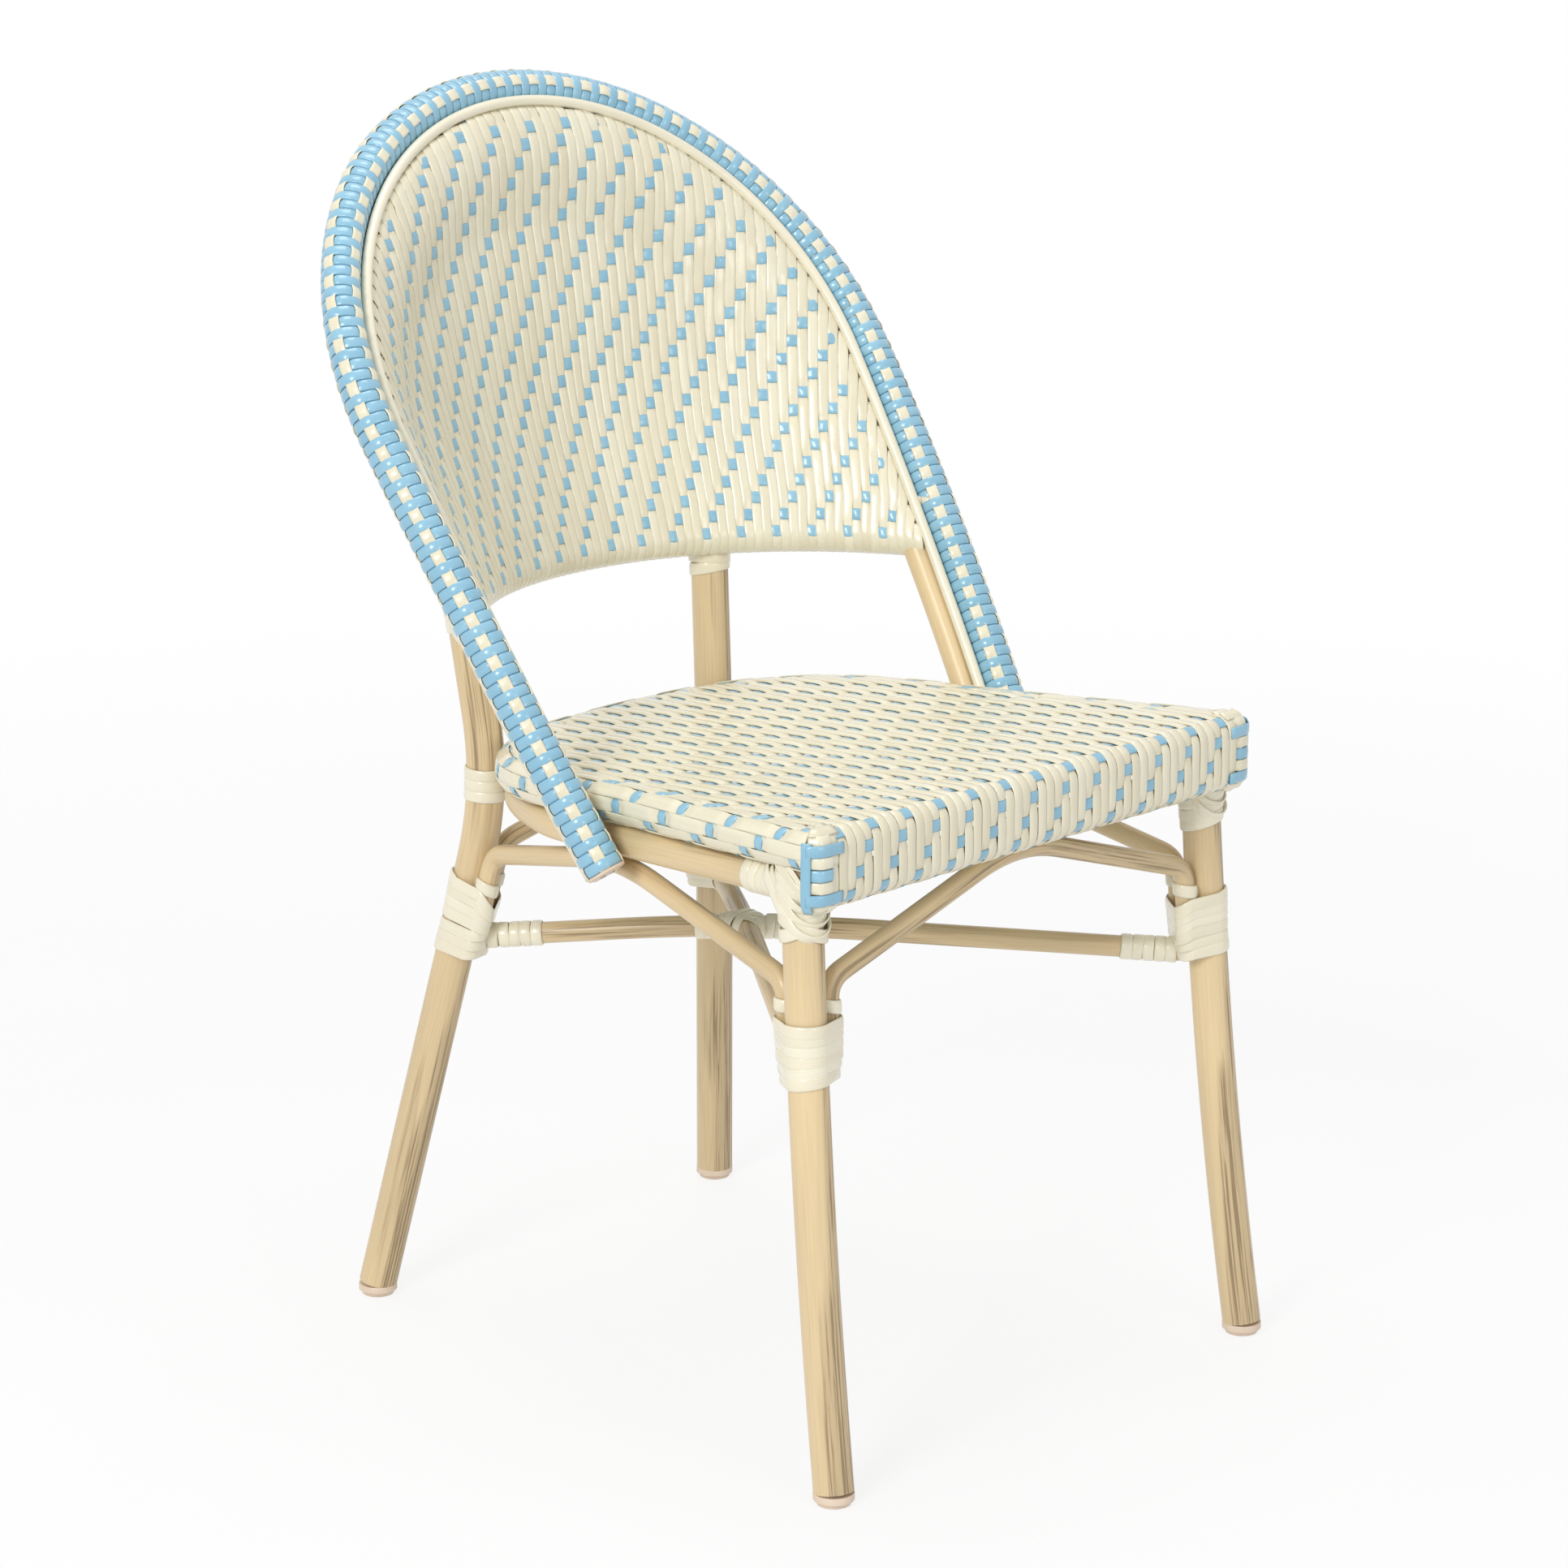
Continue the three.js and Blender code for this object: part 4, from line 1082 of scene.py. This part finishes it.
back = woven("back_cream_strands", CREAM, "back_weave")
for i in range(-40, 41):
    if panel_place(i * fan(ROW_FIRST), ROW_FIRST)[2] > 4:
        continue
    climb = panel_strand(i)
    if len(climb) > 1:
        back.bar(FLAT, rail_wrap(i) + climb)
back.finish()

rows = woven("back_blue_strands", BLUE)
for k in range(ROWS):
    z = ROW_FIRST + ROW_PITCH * k
    stations = []
    for i, height in waves([(i, over(row_blue(i, k), BACK_LIFT)) for i in range(-40, 42)], 4):
        s = i * fan(z)
        place, normal, past = panel_place(s, z)
        if i > 40 or past > (4 if k else -14):
            continue
        under = smoothstep(-4, 3, past)
        height = height * (1 - under) - 1.5 * under + BACK_STANDOFF
        upward, facing = panel_facing(place, normal, s, s, z)
        stations.append((place + facing * height, upward, facing, 8.8, 1.1))
    if len(stations) > 4:
        rows.bar(FLAT, stations)
rows.finish()

rail_shape = row_shape(BACK_RAIL_Z)
rail_end = math.asin(arch_half_at(BACK_RAIL_Z) / rail_shape[0])
back_rail = [on_row(rail_shape, rail_end * (1 - i / 30), BACK_RAIL_Z)[0] for i in range(61)]
lone_tube("back_rail_tube", "back_lower_rail", back_rail, BACK_RAIL)


# Plugs and screws in the arch ends

for label, side in SIDES.items():
    for kind, path, radius in (("inner", arch, ARCH_TUBE), ("braided", outer, BRAID_END)):
        point, line = mirrored(at_length(path, 0), side)
        name = f"{label}_{kind}_tube_end"
        plug = Piece(name, "cap_plastic", [f"{label}_{kind}_tube_plug"], PLASTIC, sharp=50)
        shares = [(-2.6, 0.82), (-2.3, 0.94), (-1.7, 1.0), (-0.3, 1.0), (0.0, 0.9), (6, 0.8)]
        across = line.orthogonal().normalized()
        plug.turned(28, point, line, across, [(a, radius * share) for a, share in shares])
        plug.finish()
    end, line = mirrored(at_length(outer, 0), side)
    spread = ARCH_FRONT.cross(line).normalized() * 4.6
    for n, offset in enumerate((spread, -spread)):
        name = f"{label}_plug_pin_{n + 1}"
        screw = Piece(name, "screw_steel", [f"{label}_braid_screw_{n + 1}"], STEEL, sharp=50)
        profile = [(-3.8, 0.7), (-3.7, 1.5), (-3.2, 2.0), (-2.5, 2.0), (-2.0, 1.1), (4.0, 1.1)]
        screw.turned(14, end + offset, line, line.orthogonal().normalized(), profile)
        screw.finish()


# Braces and stretchers

lashed = {name: [] for name in LEGS}
brace_ends = {name: [] for name in LEGS}


def beside_leg(name, toward, z):
    point, line = at_height(LEGS[name], z)
    out = (toward - line * toward.dot(line)).normalized()
    return point + out * (LEG_RADIUS + BRACE_RADIUS + 0.3)


def brace_path(names, apex):
    """A brace's middle line; its places inside the leg lashings are noted in lashed."""
    ends = []
    for name, other in (names, names[::-1]):
        z = LASHING_HEIGHTS[row_of(name)]
        toward = (at_height(LEGS[other], z)[0] - at_height(LEGS[name], z)[0]).normalized()
        lashed[name].append((beside_leg(name, toward, z), BRACE_RADIUS))
        heights = (z - LASHING_HALF, z + LASHING_HALF + 12)
        ends.append([beside_leg(name, toward, height) for height in heights])
    rise = sum((apex.z - end[1].z) / (apex - end[1]).length for end in ends) / 4 * BRACE_BEND
    return bent(ends[0] + [apex + UP * rise] + ends[1][::-1], [14, BRACE_BEND, 14])


for name, (names, apex) in BRACE_APEXES.items():
    path = brace_path(names, apex)
    brace_ends[names[0]].append(path)
    brace_ends[names[1]].append(path[::-1])
    lone_tube(f"{name}_tube", name, path, BRACE_RADIUS, 20)


def stretcher_path(*names):
    start, end = (at_height(LEGS[name], STRETCHER_ENDS[row_of(name)])[0] for name in names)
    return bent([start, CROSSING, end], [90], steps=12)


long_path = stretcher_path("rear_right", "front_left")
short_path = stretcher_path("rear_left", "front_right")
split = nearest(short_path, CROSSING)
lone_tube("long_stretcher_tube", "long_stretcher", long_path, STRETCHER_RADIUS, 20)
lone_tube("rear_half_stretcher_tube", "rear_half_stretcher", short_path[: split + 1], STRETCHER_RADIUS, 20)
lone_tube("front_half_stretcher_tube", "front_half_stretcher", short_path[split:], STRETCHER_RADIUS, 20)


# Lashings of flat strip


def wrap(piece, centre, axis, members, width, shift=0.0, slant=0.0, slant_at=0.0, gap=0.9):
    """One strip drawn tight round a bundle of round members; slant tips the loop along the axis."""
    u = (UP - axis * axis.z if abs(axis.z) < 0.7 else Vector((0, 1, 0)) - axis * axis.y).normalized()
    v = axis.cross(u)
    flat = [((point - centre).dot(u), (point - centre).dot(v), radius) for point, radius in members]
    path, normals = [], []
    for k in range(LOOP_STEPS + 1):
        angle = 2 * math.pi * k / LOOP_STEPS
        c, s = math.cos(angle), math.sin(angle)
        x, y, radius = max(flat, key=lambda m: m[0] * c + m[1] * s + m[2])
        reach = radius + gap
        along = shift + slant * math.cos(angle - slant_at)
        path.append(centre + u * (x + c * reach) + v * (y + s * reach) + axis * along)
        normals.append(u * c + v * s)
    lines = []
    for n in range(LOOP_STEPS + 1):
        before, after = path[(n - 1) % LOOP_STEPS], path[(n + 1) % LOOP_STEPS]
        lines.append((after - before).normalized())
    piece.bar(TAPE, facing_stations(path, normals, width, STRIP_THICK, lines), closed=True)


def ring(piece, where, radius, width, **options):
    """One strip round a single tube, at a place and direction on it."""
    point, line = where
    wrap(piece, point, line, [(point, radius)], width, **options)


def cross_section(origin, axis, tubes, shift):
    """Members that stand for round tubes (point, line, radius) cut at a slant by a plane across the axis."""
    members = []
    for point, line, radius in tubes:
        centre = point + line * ((shift - (point - origin).dot(axis)) / line.dot(axis))
        long_way = line - axis * line.dot(axis)
        offset = radius / abs(line.dot(axis)) - radius
        if long_way.length < 1e-6:
            members.append((centre, radius))
        else:
            members += [(centre + long_way.normalized() * offset * way, radius) for way in (-1, 1)]
    return members


def diagonal(piece, origin, axis, tubes, shift, width, gap):
    """A strip that lies at a slant over a joint of two tubes."""
    wrap(piece, origin, axis, cross_section(origin, axis, tubes, shift), width, shift=shift, gap=gap)


for name, path in LEGS.items():
    z = LASHING_HEIGHTS[row_of(name)]
    point, line = at_height(path, z)
    members = [(point, LEG_RADIUS)] + lashed[name]
    piece = strip_piece(f"{name}_leg_strip", f"{name}_leg_lashing")
    for n, (height, slant) in enumerate(LEG_BANDS[name]):
        tilt = {"slant": slant, "slant_at": CAMERA_RIGHT}
        wrap(piece, point, line, members, 9.4, shift=height - z, gap=0.9 + 0.3 * n, **tilt)
    for brace in brace_ends[name]:
        ring(piece, at_length(brace, BRACE_BANDS[row_of(name)]), BRACE_RADIUS, 9.5, slant=1.6, slant_at=1.0)
    piece.finish()

stretcher_ends = {
    "rear_right": long_path,
    "front_left": long_path[::-1],
    "rear_left": short_path,
    "front_right": short_path[::-1],
}
for name, path in stretcher_ends.items():
    piece = strip_piece(f"{name}_stretcher_strip", f"{name}_stretcher_lashing")
    away = tangents(path)[0]
    middle, _ = at_height(LEGS[name], LASHING_HEIGHTS[row_of(name)])
    for n, rise in enumerate(ROOT_BANDS[row_of(name)]):
        root, line = at_height(LEGS[name], path[0].z + rise)
        members = [(root, LEG_RADIUS), (root + away * (LEG_RADIUS + 0.5), STRETCHER_RADIUS + 0.2)]
        braces = [root + (end - middle) * (0.96 - 0.1 * n) for end, _ in lashed[name]]
        members += [(brace, BRACE_RADIUS * 0.95) for brace in braces]
        wrap(piece, root, line, members, 9.0, slant=1.5, slant_at=CAMERA_RIGHT, gap=0.7 + 0.3 * n)
    for n in range(5):
        slant = piece.chance.uniform(-0.7, 0.7)
        ring(piece, at_length(path, 26 + 8.0 * n), STRETCHER_RADIUS, 8.4, slant=slant, slant_at=n * 2.1)
    piece.finish()

middle = runs_of(long_path)[nearest(long_path, CROSSING)]
for label, way in (("rear", -1), ("front", 1)):
    piece = strip_piece(f"crossing_{label}_strip", f"crossing_{label}_lashing")
    for n in range(3):
        where = at_length(long_path, middle + way * (17 + 7.6 * n))
        ring(piece, where, STRETCHER_RADIUS, 8.6, slant=1.4 - 0.8 * n, slant_at=n * 0.7)
    cross, long_line = at_length(long_path, middle)
    short_line = tangents(short_path)[split]
    crossed = [(cross, long_line, STRETCHER_RADIUS), (cross, short_line, STRETCHER_RADIUS)]
    axis = (long_line + short_line * way).normalized()
    for shift in (-5.5, 2.5):
        diagonal(piece, cross, axis, crossed, shift, 8.6, 1.9 if way > 0 else 1.0)
    piece.finish()

for label, side in SIDES.items():
    front, rear = LEGS[f"front_{label}"], LEGS[f"rear_{label}"]
    piece = strip_piece(f"front_{label}_corner_strip", f"front_{label}_corner_lashing")
    for n, (z, slant) in enumerate(CORNER_BANDS[label]):
        tilt = {"slant": slant, "slant_at": CAMERA_RIGHT}
        ring(piece, at_height(front, z), LEG_RADIUS, 9.4, gap=1.3 + 0.4 * n, **tilt)
    piece.finish()
    piece = strip_piece(f"{label}_rail_strip", f"{label}_rail_lashing")
    rail = mirrored(rail_half, side)
    for n in range(-1, 3):
        where = at_length(rail, 30 + 7.6 * n)
        ring(piece, where, RAIL_RADIUS, 8.8, slant=1.2 * (2 - n), slant_at=math.pi)
    joint, leg_line = at_height(front, rail[0].z)
    rail_line = (rail[1] - rail[0]).normalized()
    tubes = [(joint, leg_line, LEG_RADIUS), (joint, rail_line, RAIL_RADIUS)]
    for n, (share, shift) in enumerate(CORNER_FAN):
        axis = (rail_line * (1 - share) - leg_line * share).normalized()
        diagonal(piece, joint, axis, tubes, shift, 8.8, 0.9 + 0.15 * n)
    piece.finish()
    piece = strip_piece(f"{label}_back_rail_strip", f"{label}_back_rail_lashing")
    for n in range(2):
        tilt = {"slant": 2.2 - 3.4 * n, "slant_at": CAMERA_RIGHT}
        ring(piece, at_height(rear, 506 + 7.2 * n), LEG_RADIUS, 9.4, gap=0.8 + 0.5 * n, **tilt)
    piece.finish()
    piece = strip_piece(f"rear_{label}_seat_wrap", f"rear_{label}_seat_strap")
    for n in range(3):
        ring(piece, at_height(rear, 380.5 + 8.0 * n), LEG_RADIUS, 8.6, slant=0.5 * n)
    piece.finish()

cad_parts["back_arch_outer_tube"].data.materials.clear()
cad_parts["back_arch_outer_tube"].data.materials.append(TAN_PAINT)


# Floor, light and camera

FLOOR_GLOW = 0.82
FLOOR_RADIUS = 9.0
FLOOR_FADE = (0.8, 2.2)
SOFT_LIGHT = 0.56
WHITE = (1.0, 1.0, 1.0, 1.0)


def seen_rays(tree):
    """One for rays that come from the camera, straight or by way of a mirror or clear surface."""
    rays = add(tree, "ShaderNodeLightPath").outputs
    either = calculate(tree, "MAXIMUM", rays["Is Camera Ray"], rays["Is Glossy Ray"])
    return calculate(tree, "MAXIMUM", either, rays["Is Transmission Ray"])


def glowing(tree, node, strength):
    """The output of an emission or background node, set to white light."""
    node.inputs["Color"].default_value = WHITE
    node.inputs["Strength"].default_value = strength
    return node.outputs[0]


floor_mesh = bmesh.new()
bmesh.ops.create_circle(floor_mesh, cap_ends=True, segments=96, radius=FLOOR_RADIUS)
floor_data = bpy.data.meshes.new("floor")
floor_mesh.to_mesh(floor_data)
floor_mesh.free()
floor = bpy.data.objects.new("floor", floor_data)
bpy.context.scene.collection.objects.link(floor)

# The floor keeps the shadow, fades out far from the chair, and is clear from below
floor_material = bpy.data.materials.new("pale_floor")
floor_material.use_nodes = True
tree = floor_material.node_tree
shader = tree.nodes["Principled BSDF"]
shader.inputs["Roughness"].default_value = 0.9
place = add(tree, "ShaderNodeTexCoord").outputs["Object"]
speckle = stretched_noise(tree, place, (3, 3, 3), 2)
tree.links.new(ramp(tree, speckle, (0.3, 0.86), (0.7, 0.9)), shader.inputs["Base Color"])
distance = add(tree, "ShaderNodeVectorMath", operation="LENGTH")
tree.links.new(place, distance.inputs[0])
far = add(tree, "ShaderNodeMapRange")
far.inputs["From Min"].default_value, far.inputs["From Max"].default_value = FLOOR_FADE
tree.links.new(distance.outputs["Value"], far.inputs["Value"])
below = add(tree, "ShaderNodeNewGeometry").outputs["Backfacing"]
glow = glowing(tree, add(tree, "ShaderNodeEmission"), 1.0)
seen = calculate(tree, "MULTIPLY", seen_rays(tree), FLOOR_GLOW)
lit = mix_shaders(tree, seen, shader.outputs["BSDF"], glow)
hidden = calculate(tree, "MAXIMUM", far.outputs["Result"], below)
blend = mix_shaders(tree, hidden, lit, add(tree, "ShaderNodeBsdfTransparent").outputs["BSDF"])
tree.links.new(blend, tree.nodes["Material Output"].inputs["Surface"])
floor_data.materials.append(floor_material)

# The world is white where it is seen, and a softer light elsewhere
world = bpy.data.worlds.new("studio")
bpy.context.scene.world = world
world.use_nodes = True
tree = world.node_tree
soft = glowing(tree, tree.nodes["Background"], SOFT_LIGHT)
white = glowing(tree, add(tree, "ShaderNodeBackground"), 1.0)
blend = mix_shaders(tree, seen_rays(tree), soft, white)
tree.links.new(blend, tree.nodes["World Output"].inputs["Surface"])


def soft_light(name, place, size, power):
    data = bpy.data.lights.new(name, "AREA")
    data.shape = "RECTANGLE"
    data.size, data.size_y = size
    data.energy = power
    lamp = bpy.data.objects.new(name, data)
    lamp.location = place
    lamp.rotation_euler = (Vector((0, 0, 0.4)) - Vector(place)).to_track_quat("-Z", "Y").to_euler()
    bpy.context.scene.collection.objects.link(lamp)


soft_light("key", (-3.0, -0.9, 2.1), (1.1, 1.1), 54)
soft_light("fill", (-0.6, -3.2, 1.4), (1.2, 1.0), 12)
soft_light("top", (0.2, 0.4, 3.2), (1.4, 1.4), 24)

camera_data = bpy.data.cameras.new("photo_camera")
camera_data.lens = LENS
camera_data.sensor_width = SENSOR
camera_data.clip_end = 50.0
camera = bpy.data.objects.new("photo_camera", camera_data)
bpy.context.scene.collection.objects.link(camera)
level = Vector((math.cos(CAMERA_TURN), math.sin(CAMERA_TURN), 0.0))
toward_back = level.cross(UP) * math.cos(CAMERA_TILT) + UP * math.sin(CAMERA_TILT)
upright = toward_back.cross(level)
right = level * math.cos(CAMERA_ROLL) + upright * math.sin(CAMERA_ROLL)
above = upright * math.cos(CAMERA_ROLL) - level * math.sin(CAMERA_ROLL)
axes = Matrix((right, above, toward_back)).transposed().to_4x4()
camera.matrix_world = Matrix.Translation((CAMERA_PLACE + SHIFT) * MM) @ axes
bpy.context.scene.camera = camera
bpy.context.scene.view_settings.view_transform = "Standard"
